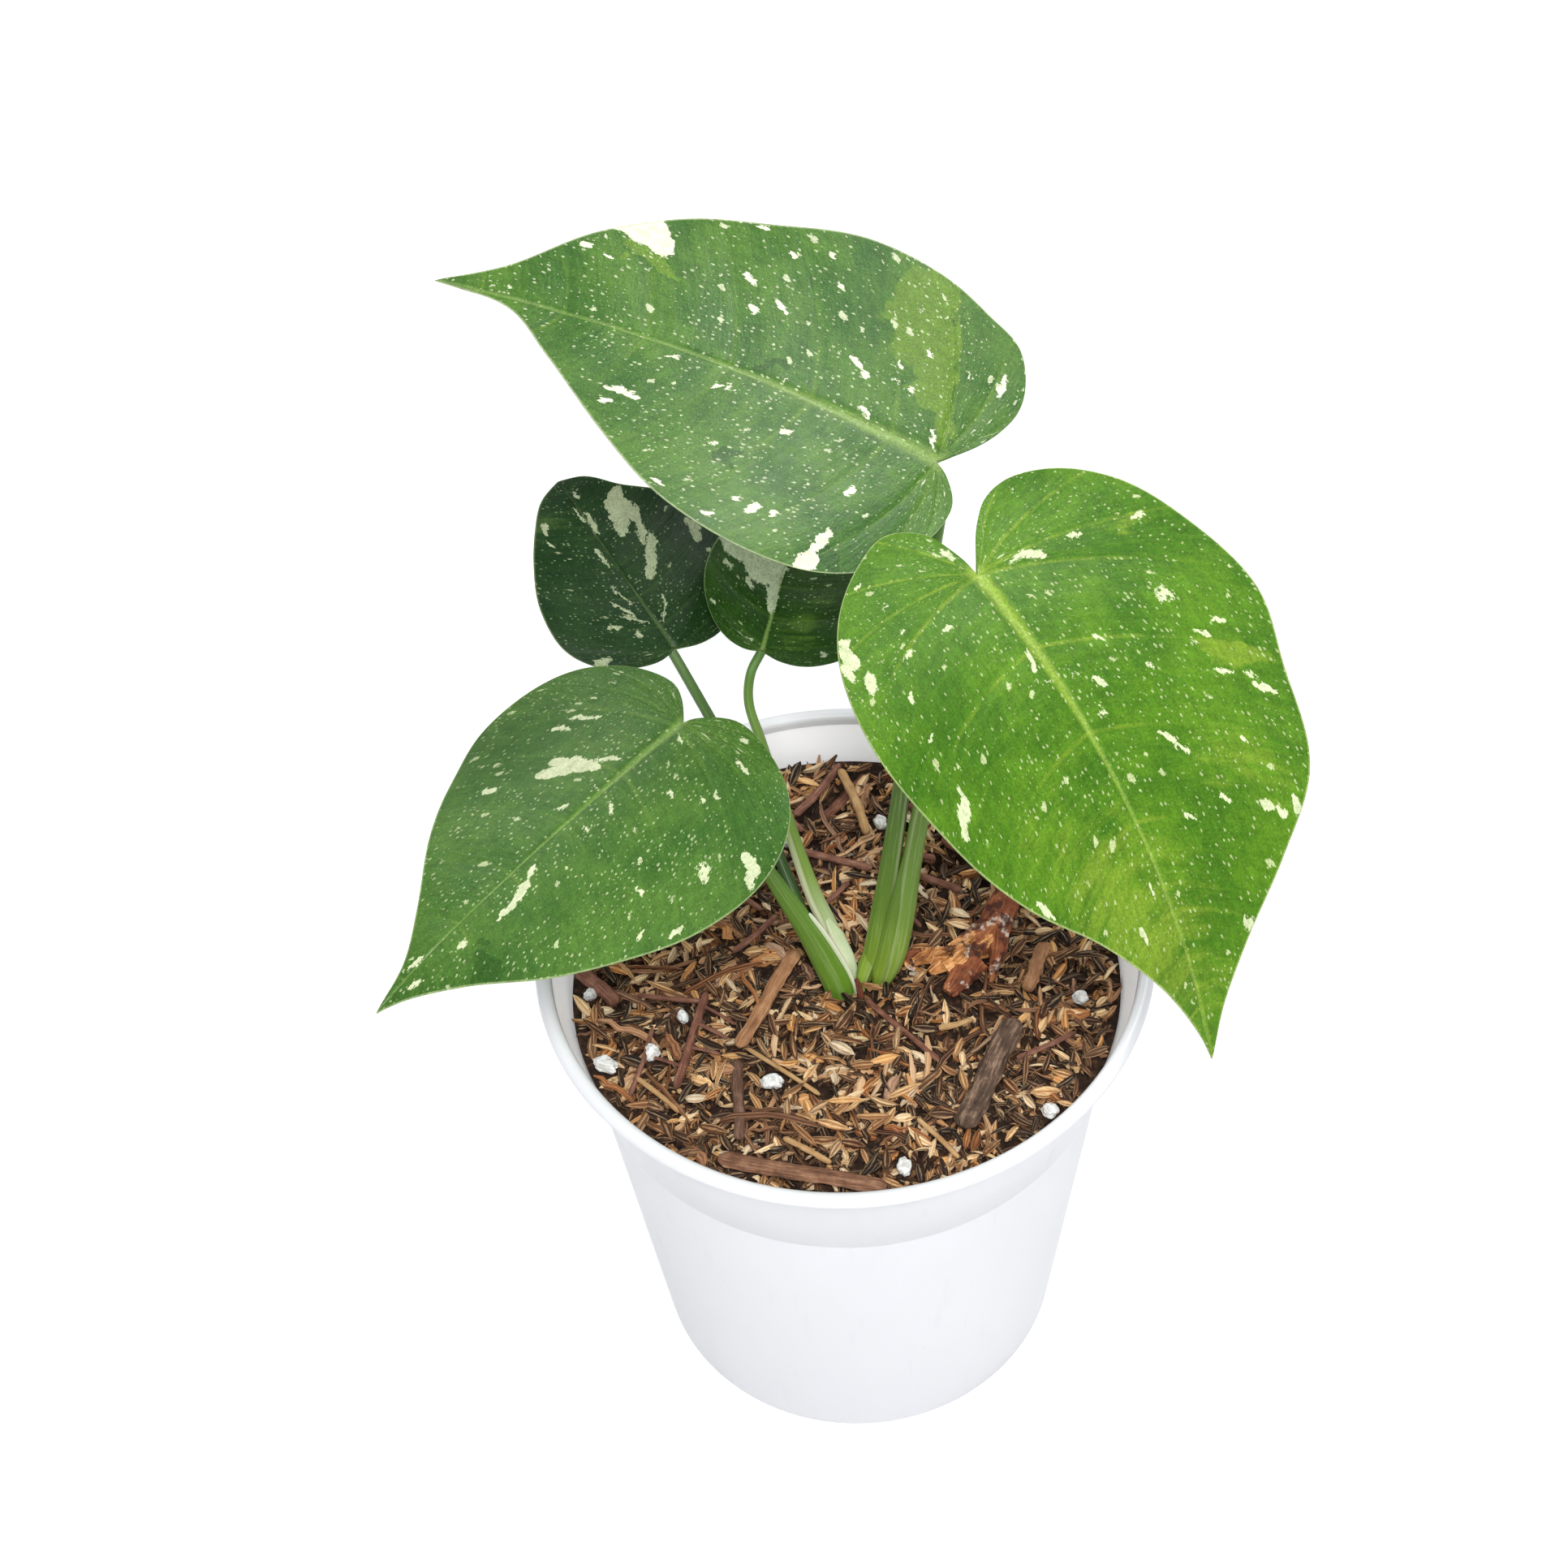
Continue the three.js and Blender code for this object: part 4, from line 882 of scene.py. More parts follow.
def capped(path, rings):
    """Rings with their two ends closed at the ends of the path."""
    ends = [np.repeat(end[None, None], rings.shape[1], 1) for end in (path[0], path[-1])]
    return np.concatenate([ends[0], rings, ends[1]])


# Leaves

def leaf_directions(leaf):
    heading, rise, tilt = (math.radians(leaf[key]) for key in ("heading", "rise", "tilt"))
    ahead = np.array([math.cos(rise) * math.cos(heading), math.cos(rise) * math.sin(heading), math.sin(rise)])
    level = np.array([-math.sin(heading), math.cos(heading), 0])
    left = level * math.cos(tilt) + np.cross(ahead, level) * math.sin(tilt)
    return ahead, left, np.cross(ahead, left)


def on_blade(leaf, along, across, lift):
    """Places flat leaf points in space, raised by lift along the blade's own normal."""
    ahead, left, up = leaf_directions(leaf)
    arch, cup = leaf["arch"] / 1000, leaf["cup"] / 1000
    reach = leaf["tip"][0]
    along, across, lift = (np.asarray(v, float)[..., None] for v in (along, across, lift))
    bend, roll = arch * along, cup * across
    normal = up * np.cos(bend) + ahead * np.sin(bend)
    skin = normal * np.cos(roll) + left * np.sin(roll)
    past = np.maximum(0, (along - 0.7 * reach) / (0.3 * reach))
    place = np.array(leaf["joint"], float) + ahead * np.sin(bend) / arch + up * (np.cos(bend) - 1) / arch
    sunk = (np.cos(roll) - 1) / cup - leaf["droop"] * past**2
    return place + left * np.sin(roll) / cup + normal * sunk + skin * lift


def blade_margins(leaf):
    reach, sweep = leaf["tip"]
    margins = []
    for side, half in ((1, leaf["left"]), (-1, leaf["right"])):
        corners = [[0, 0]] + [[along, side * out] for along, out in half] + [[reach, sweep]]
        margins.append(even_steps(smooth_curve(corners), COLUMNS))
    return margins


def vein_feet(leaf, margins):
    """Where the run from each margin point meets the midrib; the first ones fan from the joint."""
    slanted = sum(m[:, 0] - VEIN_SLANT * np.abs(m[:, 1]) for m in margins) / 2
    feet = np.maximum.accumulate(np.maximum(0, slanted))
    share = np.linspace(0, 1, COLUMNS + 1)
    last = np.clip((share - 0.92) / 0.08, 0, 1) ** 2
    return feet + (leaf["tip"][0] - feet) * last


def add_blade(skin, leaf):
    reach, sweep = leaf["tip"]
    wave, waves, phase = leaf["wave"]
    margins = blade_margins(leaf)
    feet = vein_feet(leaf, margins)[:, None]
    share = np.linspace(0, 1, COLUMNS + 1)[:, None]
    row = np.linspace(0, 1, ROWS + 1)[None, :] ** 1.2
    vein = (np.arange(COLUMNS + 1)[:, None] - FIRST_VEIN) / VEIN_COLUMNS
    off_vein = np.abs(vein - np.round(vein))
    for side, margin in zip((1, -1), margins):
        edge_x, edge_y = margin[:, :1], margin[:, 1:]
        foot_across = sweep * (feet / reach) ** 2
        span = np.hypot(edge_x - feet, edge_y - foot_across)
        along = feet + (edge_x - feet) * row - 4 * VEIN_SAG * span * row * (1 - row)
        across = foot_across + (edge_y - foot_across) * row
        wavy = wave * np.sin(np.pi * share) * row**2 * np.sin(2 * np.pi * waves * share + side * phase)

        # Distances on the flat blade: between veins, from the midrib and from the margin
        pitch = VEIN_COLUMNS * np.hypot(np.gradient(along, axis=0), np.gradient(across, axis=0))
        vein_gap = off_vein * pitch
        from_rib = span * row
        edge_gap = span * (1 - row)
        rib_width = leaf["rib"] * (0.24 + 0.76 * (1 - np.clip(along / reach / 0.5, 0, 1)) ** 1.3)

        # Relief: a channel along the midrib, sunken side veins and low swells between them
        fade = np.sqrt(row) * (1 - row) * np.minimum(1, pitch / 6)
        swell = SWELL_HEIGHT * np.sin(np.pi * off_vein) ** 2 * fade
        groove = GROOVE_DEPTH * np.exp(-((vein_gap / GROOVE_HALF_WIDTH) ** 2)) * fade
        rib_share = from_rib / np.maximum(rib_width, 0.3)
        channel = CHANNEL_DEPTH * np.exp(-(rib_share**2)) * (1 - 0.6 * np.clip(along / reach, 0, 1))
        lift = wavy + swell - groove - channel
        fuller = np.minimum(1, edge_gap / MARGIN_RUN)
        thickness = MARGIN_THICKNESS + (BLADE_THICKNESS - MARGIN_THICKNESS) * fuller
        keel = RIB_DEPTH * (1 - 0.8 * np.clip(along / reach, 0, 1))
        keel = keel * np.exp(-((from_rib / (1.1 * rib_width + 0.2)) ** 2))
        under_vein = UNDER_VEIN_DEPTH * np.exp(-((vein_gap / UNDER_VEIN_HALF_WIDTH) ** 2)) * fade
        under = lift - thickness - keel - under_vein + channel

        top = on_blade(leaf, along, across, lift)
        bottom = on_blade(leaf, along, across, under)
        across_veins = np.broadcast_to(vein * FLOW_PER_VEIN + side * FLOW_OF_HALF, along.shape)
        flow = np.stack([across_veins, from_rib], -1)
        flat = np.stack([along, across], -1)
        gaps = {"rib_gap": rib_share, "vein_gap": vein_gap, "edge_gap": edge_gap}
        skin.grid(top, flip=side < 0, flow=flow, flat=flat, **gaps)
        skin.grid(bottom, slot=UNDERSIDE, flip=side > 0, flow=flow, flat=flat, **gaps)
        rim = np.stack([top[:, -1], bottom[:, -1]], 1)
        skin.grid(rim, flip=side < 0, flow=flow[:, -2:], flat=flat[:, -2:], edge_gap=0.0)


def stalk_path(leaf):
    under = on_blade(leaf, [1.5, 7, 14], [0, 0, 0], [-2.7, -2.4, -1.7])
    return even_steps(smooth_curve([*leaf["stalk"], *under]), STALK_STEPS)


def add_stalk(skin, leaf):
    path = stalk_path(leaf)

    def swell(share, turn):
        half_width, half_depth = blend(leaf["girth"], share)
        ending = 1 - 0.65 * np.clip((share - 0.9) / 0.1, 0, 1) ** 1.3
        ridges = 1 + 0.022 * np.cos(9 * turn + 0.6) + 0.012 * np.cos(17 * turn + 3 * share)
        return half_width * ending * ridges, half_depth * ending * ridges

    rings = tube_rings(path, STALK_SIDES, swell)
    travelled = np.linalg.norm(np.diff(rings.mean(1), axis=0), axis=1)
    add_round_grid(skin, rings, np.concatenate([[0], np.cumsum(travelled)])[:, None])


def add_round_grid(skin, rings, height):
    """Adds a stalk's or a fold's rings with the stalk's finish; height is how far up each ring lies."""
    around = np.linspace(0, FLOW_ROUND_STALK, STALK_SIDES + 1)[None, :]
    flow = np.stack(np.broadcast_arrays(around, height), -1)
    skin.grid(rings, slot=STALK, flow=flow, flat=flow)


def add_fold(skin, path, girth):
    """A rounded fold at a stalk's foot, with the stalk's own finish."""
    line = even_steps(smooth_curve(path), FOLD_STEPS)
    rings = tube_rings(line, STALK_SIDES, lambda share, turn: blend(girth, share))
    add_round_grid(skin, rings, rings.mean(1)[:, 2:] - MIX_LEVEL + BURIED_STALK)


def add_sheath(skin, leaf, side, start, end, lean):
    """The papery margin of the sheath: a thin flap along the stalk's foot that ends in a free tip."""
    path = stalk_path(leaf)
    first, last = (round(share * STALK_STEPS) for share in (start, end))
    line = path[first:last + 1]
    share = np.linspace(start, end, len(line))
    half_width, half_depth = blend(leaf["girth"], share)
    along = np.linspace(0, 1, len(line))
    turn = np.radians(side)
    foot = line + np.stack([half_width * np.cos(turn) * 0.93, half_depth * np.sin(turn) * 0.93, 0 * along], 1)
    width = SHEATH_WIDTH * np.sqrt(np.sin(np.pi * (0.12 + 0.8 * along)))
    out = np.array([math.cos(turn + lean), math.sin(turn + lean), 0.15])
    curl = np.array([math.cos(turn + lean + 1.2), math.sin(turn + lean + 1.2), 0.3])
    edge = foot + width[:, None] * out + 0.7 * width[:, None] * curl * along[:, None]
    middle = (foot + edge) / 2 - 0.35 * curl
    flap = np.stack([foot, middle, edge], 1)
    thick = np.cross(out, [0, 0, 1.0]) * SHEATH_HALF_THICKNESS
    ring = np.stack([flap[:, 0] - thick, flap[:, 1] - thick, flap[:, 2] - 0.4 * thick,
                     flap[:, 2] + 0.4 * thick, flap[:, 1] + thick, flap[:, 0] + thick, flap[:, 0] - thick], 1)
    ring = capped(ring.mean(1), ring)

    # Across the flap, from its green foot to its white margin, as its finish reads it
    band = np.array([3.0, 7.0, 8.6, 8.6, 7.0, 3.0, 3.0])
    flow = np.stack(np.broadcast_arrays(band[None, :], np.concatenate([[0], share * 150, [30]])[:, None]), -1)
    skin.grid(ring, slot=SHEATH, flow=flow, flat=flow)


def sheath_material():
    """Green at its foot and white, nearly dry, along its free margin."""
    material, tree, shader = new_material("sheath margin", Roughness=0.5, Specular_IOR_Level=0.35)
    flow = tree.uv("flow")
    streak = tree.noise(tree.stretch(flow, (1.0, 0.1, 1)), 1.0, 4.0, 0.6)
    place = tree.plus(tree.axis(flow, "X"), tree.times(streak, 1.5))
    stops = [(0.35, (0.14, 0.28, 0.03)), (0.7, (0.36, 0.48, 0.17)), (0.9, (0.74, 0.77, 0.6))]
    colour = tree.ramp(tree.math("DIVIDE", place, 10.0), stops)
    tree.feed(shader.inputs["Base Color"], colour)
    add_bump(tree, shader, streak, 0.0002, 0.4)
    return material


def make_leaf(name, slot, materials):
    """One grown leaf; its materials are those of its face, underside, stalk and sheath margin."""
    skin = Skin(maps=("flow", "flat"), gaps=("rib_gap", "vein_gap", "edge_gap"))
    add_blade(skin, LEAVES[name])
    add_stalk(skin, LEAVES[name])
    for path, girth in STALK_FOLDS.get(name, []):
        add_fold(skin, path, girth)
    if name in SHEATHS:
        add_sheath(skin, LEAVES[name], *SHEATHS[name])
    hand_in(skin.piece(name + "_leaf", materials), slot, name)


def under_material():
    """The paler, duller underside of the blades."""
    material, tree, shader = new_material("leaf underside", "2D", Specular_IOR_Level=0.3)
    flow, flat = tree.uv("flow"), tree.uv("flat")
    cloud = tree.noise(flat, 0.12, 4.0)
    colour = tree.mix(cloud, (0.075, 0.19, 0.045), (0.14, 0.29, 0.085))
    line = tree.fall(tree.attribute("vein_gap"), 0.1, 0.7)
    rib = tree.fall(tree.attribute("rib_gap"), 0.6, 1.2)
    pale = tree.most(rib, tree.times(line, 0.5))
    colour = tree.mix(tree.times(pale, 0.7), colour, (0.3, 0.42, 0.14))
    streak = tree.noise(tree.stretch(flow, (0.8, 0.15, 1)), 1.0, 4.0, 0.7)
    patch = tree.step(streak, 0.64, 0.7)
    colour = tree.mix(tree.times(patch, 0.5), colour, (0.55, 0.62, 0.38))
    coat(tree, shader, colour, tree.plus(0.5, tree.times(cloud, 0.15)))
    add_bump(tree, shader, streak, 0.0003, 0.5)
    return material


def make_leaves():
    blade = blade_group(fleck_group())
    under = under_material()
    sheath = sheath_material()
    for name, (slot, gloss, dusting, veins) in BLADE_LOOKS.items():
        face = blade_material(name, blade, gloss, dusting, veins)
        make_leaf(name, slot, [face, under, stalk_material(name), sheath])


# Pot

def pot_profile():
    bead_height = POT_HEIGHT - BEAD_RADIUS
    bead_centre = RIM_RADIUS - BEAD_RADIUS
    bead = [(bead_centre + BEAD_RADIUS * math.cos(t), bead_height + BEAD_RADIUS * math.sin(t))
            for t in np.radians(np.linspace(-80, 180, 22))]
    return [
        (0, 0),
        (CENTRE_PAD_RADIUS, 0),
        (CENTRE_PAD_RADIUS + FOOT_RECESS, FOOT_RECESS),
        (FOOT_INNER_RADIUS - FOOT_RECESS, FOOT_RECESS),
        (FOOT_INNER_RADIUS, 0),
        (BASE_RADIUS - 1.2, 0),
        (BASE_RADIUS - 0.35, 0.35),
        (BASE_RADIUS, 1.4),
        (COLLAR_FOOT_RADIUS - COLLAR_STEP, COLLAR_FOOT_HEIGHT - 0.4),
        (COLLAR_FOOT_RADIUS - 0.15, COLLAR_FOOT_HEIGHT - 0.25),
        (COLLAR_FOOT_RADIUS, COLLAR_FOOT_HEIGHT),
        (COLLAR_TOP_RADIUS, bead_height - BEAD_RADIUS),
        *bead,
        (COLLAR_TOP_RADIUS - WALL, bead_height - BEAD_RADIUS),
        (COLLAR_FOOT_RADIUS - WALL, COLLAR_FOOT_HEIGHT),
        (BASE_RADIUS - WALL, FLOOR_TOP),
        (0, FLOOR_TOP),
    ]


def spun(profile, segments):
    """A profile of [radius, height] turned round the pot's axis."""
    turn = np.linspace(0, 2 * np.pi, segments + 1)
    radius, height = np.array(profile, float).T
    return np.stack([np.outer(radius, np.cos(turn)), np.outer(radius, np.sin(turn)),
                     np.outer(height, np.ones_like(turn))], -1)


def pot_material():
    """White moulded plastic with a satin skin, faint scuffs and a few specks of dust; its inner wall and
    floor are painted lighter and made to glow faintly, as painted light.
    """
    # Its emission colour is for the painted glow of the inner wall and floor.
    material, tree, shader = new_material("white pot plastic with painted inner light", Specular_IOR_Level=0.45,
                                          Emission_Color=(1, 0.99, 1, 1))
    place = tree.place()
    cloud = tree.noise(place, 18.0, 2.0, 0.6)
    scuff = tree.step(tree.noise(tree.stretch(place, (1, 1, 0.12)), 160.0, 2.0, 0.7), 0.6, 0.75)
    colour = tree.mix(cloud, (0.73, 0.735, 0.765), (0.78, 0.78, 0.81))
    colour = tree.mix(tree.times(scuff, 0.2), colour, (0.70, 0.70, 0.73))
    specks = tree.cells(place, 60.0)
    speck = tree.fall(specks.outputs["Distance"], 0.02, 0.05)
    pick = tree.add("ShaderNodeSeparateColor", {"Color": specks.outputs["Color"]}).outputs[0]
    speck = tree.times(speck, tree.math("LESS_THAN", pick, 0.03))
    colour = tree.mix(tree.times(speck, 0.5), colour, (0.42, 0.40, 0.42))
    # Painted light: the inner wall and floor take a whiter colour and a faint glow, standing in for light
    # that reaches into the pot.
    inner = tree.times(tree.step(tree.attribute("inside"), 0.4, 0.6), 0.9)
    colour = tree.mix(inner, colour, (0.93, 0.925, 0.95))
    tree.feed(shader.inputs["Emission Strength"], tree.times(inner, 0.28))
    rough = tree.plus(0.3, tree.times(cloud, 0.12))
    coat(tree, shader, colour, tree.plus(rough, tree.times(scuff, 0.12)))
    orange_peel = tree.noise(place, 900.0, 1.0)
    add_bump(tree, shader, orange_peel, 0.00006, 0.4)
    return material


def make_pot():
    material = pot_material()
    skin = Skin(gaps=("inside",))
    profile = pot_profile()
    # The last four points of the profile are the inner wall and floor, where the finish paints light.
    inside = np.zeros(len(profile))
    inside[-4:] = 1
    skin.grid(spun(profile, POT_SEGMENTS), inside=inside[:, None])
    pot = skin.piece("round_pot", [material], sharp=38)
    cutters = []
    for i in range(DRAIN_COUNT):
        turn = 2 * math.pi * i / DRAIN_COUNT
        drain = Skin()
        drain.grid(spun([(0, -6), (DRAIN_RADIUS, -6), (DRAIN_RADIUS, 10), (0, 10)], DRAIN_SEGMENTS))
        cutter = drain.piece("drain", [material])
        shift = Vector((DRAIN_CIRCLE * math.cos(turn), DRAIN_CIRCLE * math.sin(turn), 0)) * MM
        cutter.data.transform(Matrix.Translation(shift))
        cut = pot.modifiers.new("drain", "BOOLEAN")
        cut.operation = "DIFFERENCE"
        cut.solver = "EXACT"
        cut.object = cutter
        cutters.append(cutter)
    bake_modifiers(pot)
    for cutter in cutters:
        bpy.data.objects.remove(cutter)
    hand_in(pot, "pot", "pot")


def bake_modifiers(piece):
    """Keeps what the modifiers make as the piece's plain mesh."""
    graph = bpy.context.evaluated_depsgraph_get()
    mesh = bpy.data.meshes.new_from_object(piece.evaluated_get(graph))
    piece.modifiers.clear()
    piece.data = mesh


# Potting mix

def mix_height(x, y):
    share = np.minimum(1, np.hypot(x, y) / MIX_REACH)
    ripple = np.sin(x * 0.31 + 1.3 * np.sin(y * 0.12)) * np.cos(y * 0.27 + 0.8 * np.sin(x * 0.1))
    rise = MIX_BACK_RISE * np.maximum(0, y)
    rise = rise + BACK_HEAP * np.clip((y - BACK_HEAP_START) / BACK_HEAP_RUN, 0, 1) ** 2
    return MIX_LEVEL + MIX_MOUND * (1 - share**2) + MIX_RIPPLE * (1 - share**4) * ripple + rise


def mix_radius(height):
    share = (height - COLLAR_FOOT_HEIGHT) / (POT_HEIGHT - 2 * BEAD_RADIUS - COLLAR_FOOT_HEIGHT)
    return COLLAR_FOOT_RADIUS + (COLLAR_TOP_RADIUS - COLLAR_FOOT_RADIUS) * share - WALL - WALL_CLEARANCE


def crumble(x, y):
    """Small lumps in the bed, up to about 1 mm high."""
    lumps = np.sin(1.7 * x + 2.0 * np.sin(0.9 * y)) * np.sin(1.5 * y + 1.7 * np.sin(0.8 * x))
    return 0.6 * lumps + 0.35 * np.sin(3.1 * x + y) * np.sin(2.9 * y - 1.3 * x)


def bed_top(depth, reach, rings, sides):
    """Surface of the mix, sunk by depth, as a disc of rings."""
    turn = np.linspace(0, 2 * np.pi, sides + 1)[None, :]
    radius = np.linspace(reach, 0, rings)[:, None]
    x, y = radius * np.cos(turn), radius * np.sin(turn)
    height = mix_height(x, y) - depth + crumble(x, y) * np.minimum(1, (reach - radius) / 4)
    return np.stack([x, y, height], -1)


def make_bed(material):
    skin = Skin()
    top = bed_top(BED_DEPTH, mix_radius(MIX_LEVEL - BED_DEPTH), BED_RINGS, BED_SIDES)
    floor = FLOOR_TOP + BED_FLOOR_GAP
    wall = spun([(0, floor), (BASE_RADIUS - WALL - WALL_CLEARANCE, floor),
                 (mix_radius(COLLAR_FOOT_HEIGHT), COLLAR_FOOT_HEIGHT)], BED_SIDES)
    skin.grid(np.concatenate([wall, top]))
    hand_in(skin.piece("mix_bed", [material], sharp=80), "mix", "potting_mix")


def dark_crumbs_and_shade_material():
    """Dark, damp crumbs between the husks, near black: partly the mix's own colour and partly painted shade
    for the gaps between the husks.
    """
    material, tree, shader = new_material("dark crumbs and painted shade", Specular_IOR_Level=0.2)
    place = tree.place()
    lump = tree.noise(place, 420.0, 5.0, 0.7)
    # Its darkest stops are partly painted shade in the gaps between the husks.
    stops = [(0.3, (0.008, 0.005, 0.004)), (0.52, (0.035, 0.018, 0.011)), (0.72, (0.13, 0.065, 0.035))]
    coat(tree, shader, tree.ramp(lump, stops), tree.plus(0.7, tree.times(lump, 0.25)))
    add_bump(tree, shader, lump, 0.0012, 0.9)
    return material


def flake_material(name, stops, streak_colour, streaks):
    """Loose pieces: each takes one colour by its tint, some rustier or greyer, with streaks along it."""
    material, tree, shader = new_material(name, Specular_IOR_Level=0.3)
    tint = tree.attribute("tint")
    grain = tree.uv("grain")
    place = tree.place()
    apart = tree.vector("MULTIPLY", place, (90.0, 90.0, 90.0))
    streak = tree.noise(tree.vector("ADD", tree.stretch(grain, (1.2, 9.0, 1)), apart), 1.4, 3.0, 0.65)
    ribs = tree.math("SINE", tree.times(tree.axis(grain, "Y"), HUSK_RIBS))
    streak = tree.plus(streak, tree.times(ribs, 0.13))
    tone = tree.plus(tint, tree.times(tree.minus(streak, 0.5), 0.75))
    # For the husks, the darkest and palest colours of the ramp are partly painted shade and painted
    # highlight.
    colour = tree.ramp(tone, stops)
    luck = tree.math("FRACT", tree.times(tint, 53.0))
    rusty = tree.mix(1.0, colour, (0.92, 0.70, 0.46), "MULTIPLY")
    colour = tree.mix(tree.step(luck, 0.3, 0.1), colour, rusty)
    weathered = tree.mix(1.0, colour, (0.84, 0.96, 1.2), "MULTIPLY")
    colour = tree.mix(tree.step(luck, 0.76, 0.95), colour, weathered)
    colour = tree.mix(tree.times(tree.step(streak, 0.52, 0.72), streaks), colour, streak_colour)
    colour = tree.mottled(0.4, colour, tree.noise(place, 700.0, 2.0, 0.6), 0.25)
    coat(tree, shader, colour, tree.plus(0.55, tree.times(streak, 0.3)))
    add_bump(tree, shader, streak, 0.0005, 0.8)
    return material


def husk_shape(name, length, width, curl, bow, seed):
    """A rice husk: a thin pointed boat, curled round its length."""
    random = np.random.default_rng(seed)
    share = np.linspace(0, 1, 6)[:, None]
    turn = np.radians(np.linspace(-curl, curl, 4))[None, :]
    swell = np.sin(np.pi * share) ** 0.7 * (1 + 0.12 * random.uniform(-1, 1)) * (1.15 - 0.3 * share)
    outer = 0.5 * width * swell
    x = (share - 0.5) * length * np.ones_like(turn)
    skin = Skin(maps=("grain",))
    lay = []
    for scale in (1.0, 0.78):
        y = outer * np.sin(turn) * scale
        z = outer * (np.cos(turn) * scale - 0.35) + bow * np.sin(np.pi * share)
        lay.append(np.stack([x, y, z], -1))
    grain = np.stack([x / 7, np.broadcast_to(turn / 3, x.shape)], -1)
    skin.grid(lay[0], grain=grain)
    skin.grid(lay[1], flip=True, grain=grain)
    for edge in (0, -1):
        skin.grid(np.stack([lay[0][:, edge], lay[1][:, edge]], 1), flip=edge == 0, grain=grain[:, :2])
    return skin.piece(name, [], sharp=70)


def stick_shape(name, length, width, thickness, bend, seed, steps=7, sides=6):
    """A short crooked stick or fibre with torn ends."""
    random = np.random.default_rng(seed)
    share = np.linspace(0, 1, steps)
    aside = bend * np.sin(np.pi * share) + 0.2 * width * random.normal(size=steps)
    path = np.stack([(share - 0.5) * length, aside, 0.25 * thickness * random.normal(size=steps)], 1)
    turn = np.linspace(0, 2 * np.pi, sides + 1)
    wobble = 1 + 0.18 * random.normal(size=(steps, sides))
    wobble = np.concatenate([wobble, wobble[:, :1]], 1)
    taper = np.clip(np.sin(np.pi * (0.08 + 0.84 * share)) * 1.6, 0, 1)[:, None]
    y = 0.5 * width * np.cos(turn) * wobble * taper
    z = 0.5 * thickness * np.sin(turn) * wobble * taper
    rings = capped(path, path[:, None] + np.stack([np.zeros_like(y), y, z], -1))
    along = np.linspace(0, length / 7, steps + 2)[:, None]
    grain = np.stack(np.broadcast_arrays(along, turn[None, :] / 3), -1)
    skin = Skin(maps=("grain",))
    skin.grid(rings, grain=grain)
    return skin.piece(name, [], sharp=60)


def shape_collection(name, make, sizes, *detail):
    """Shapes to scatter, in a collection that is kept out of the scene."""
    collection = bpy.data.collections.new(name + " shapes")
    for letter, size in zip("abcdef", sizes):
        shape = make(f"{name}_{letter}", *size, *detail)
        collection.objects.link(shape)
        bpy.context.scene.collection.objects.unlink(shape)
    return collection


class Geometry(Tree):
    """Adds geometry nodes to a tree."""

    def random(self, kind, low, high, seed):
        node = self.add("FunctionNodeRandomValue", data_type=kind)
        usable = {socket.name: socket for socket in node.inputs if socket.enabled}
        for name, value in (("Min", low), ("Max", high), ("Seed", seed)):
            self.feed(usable[name], value)
        return next(socket for socket in node.outputs if socket.enabled)


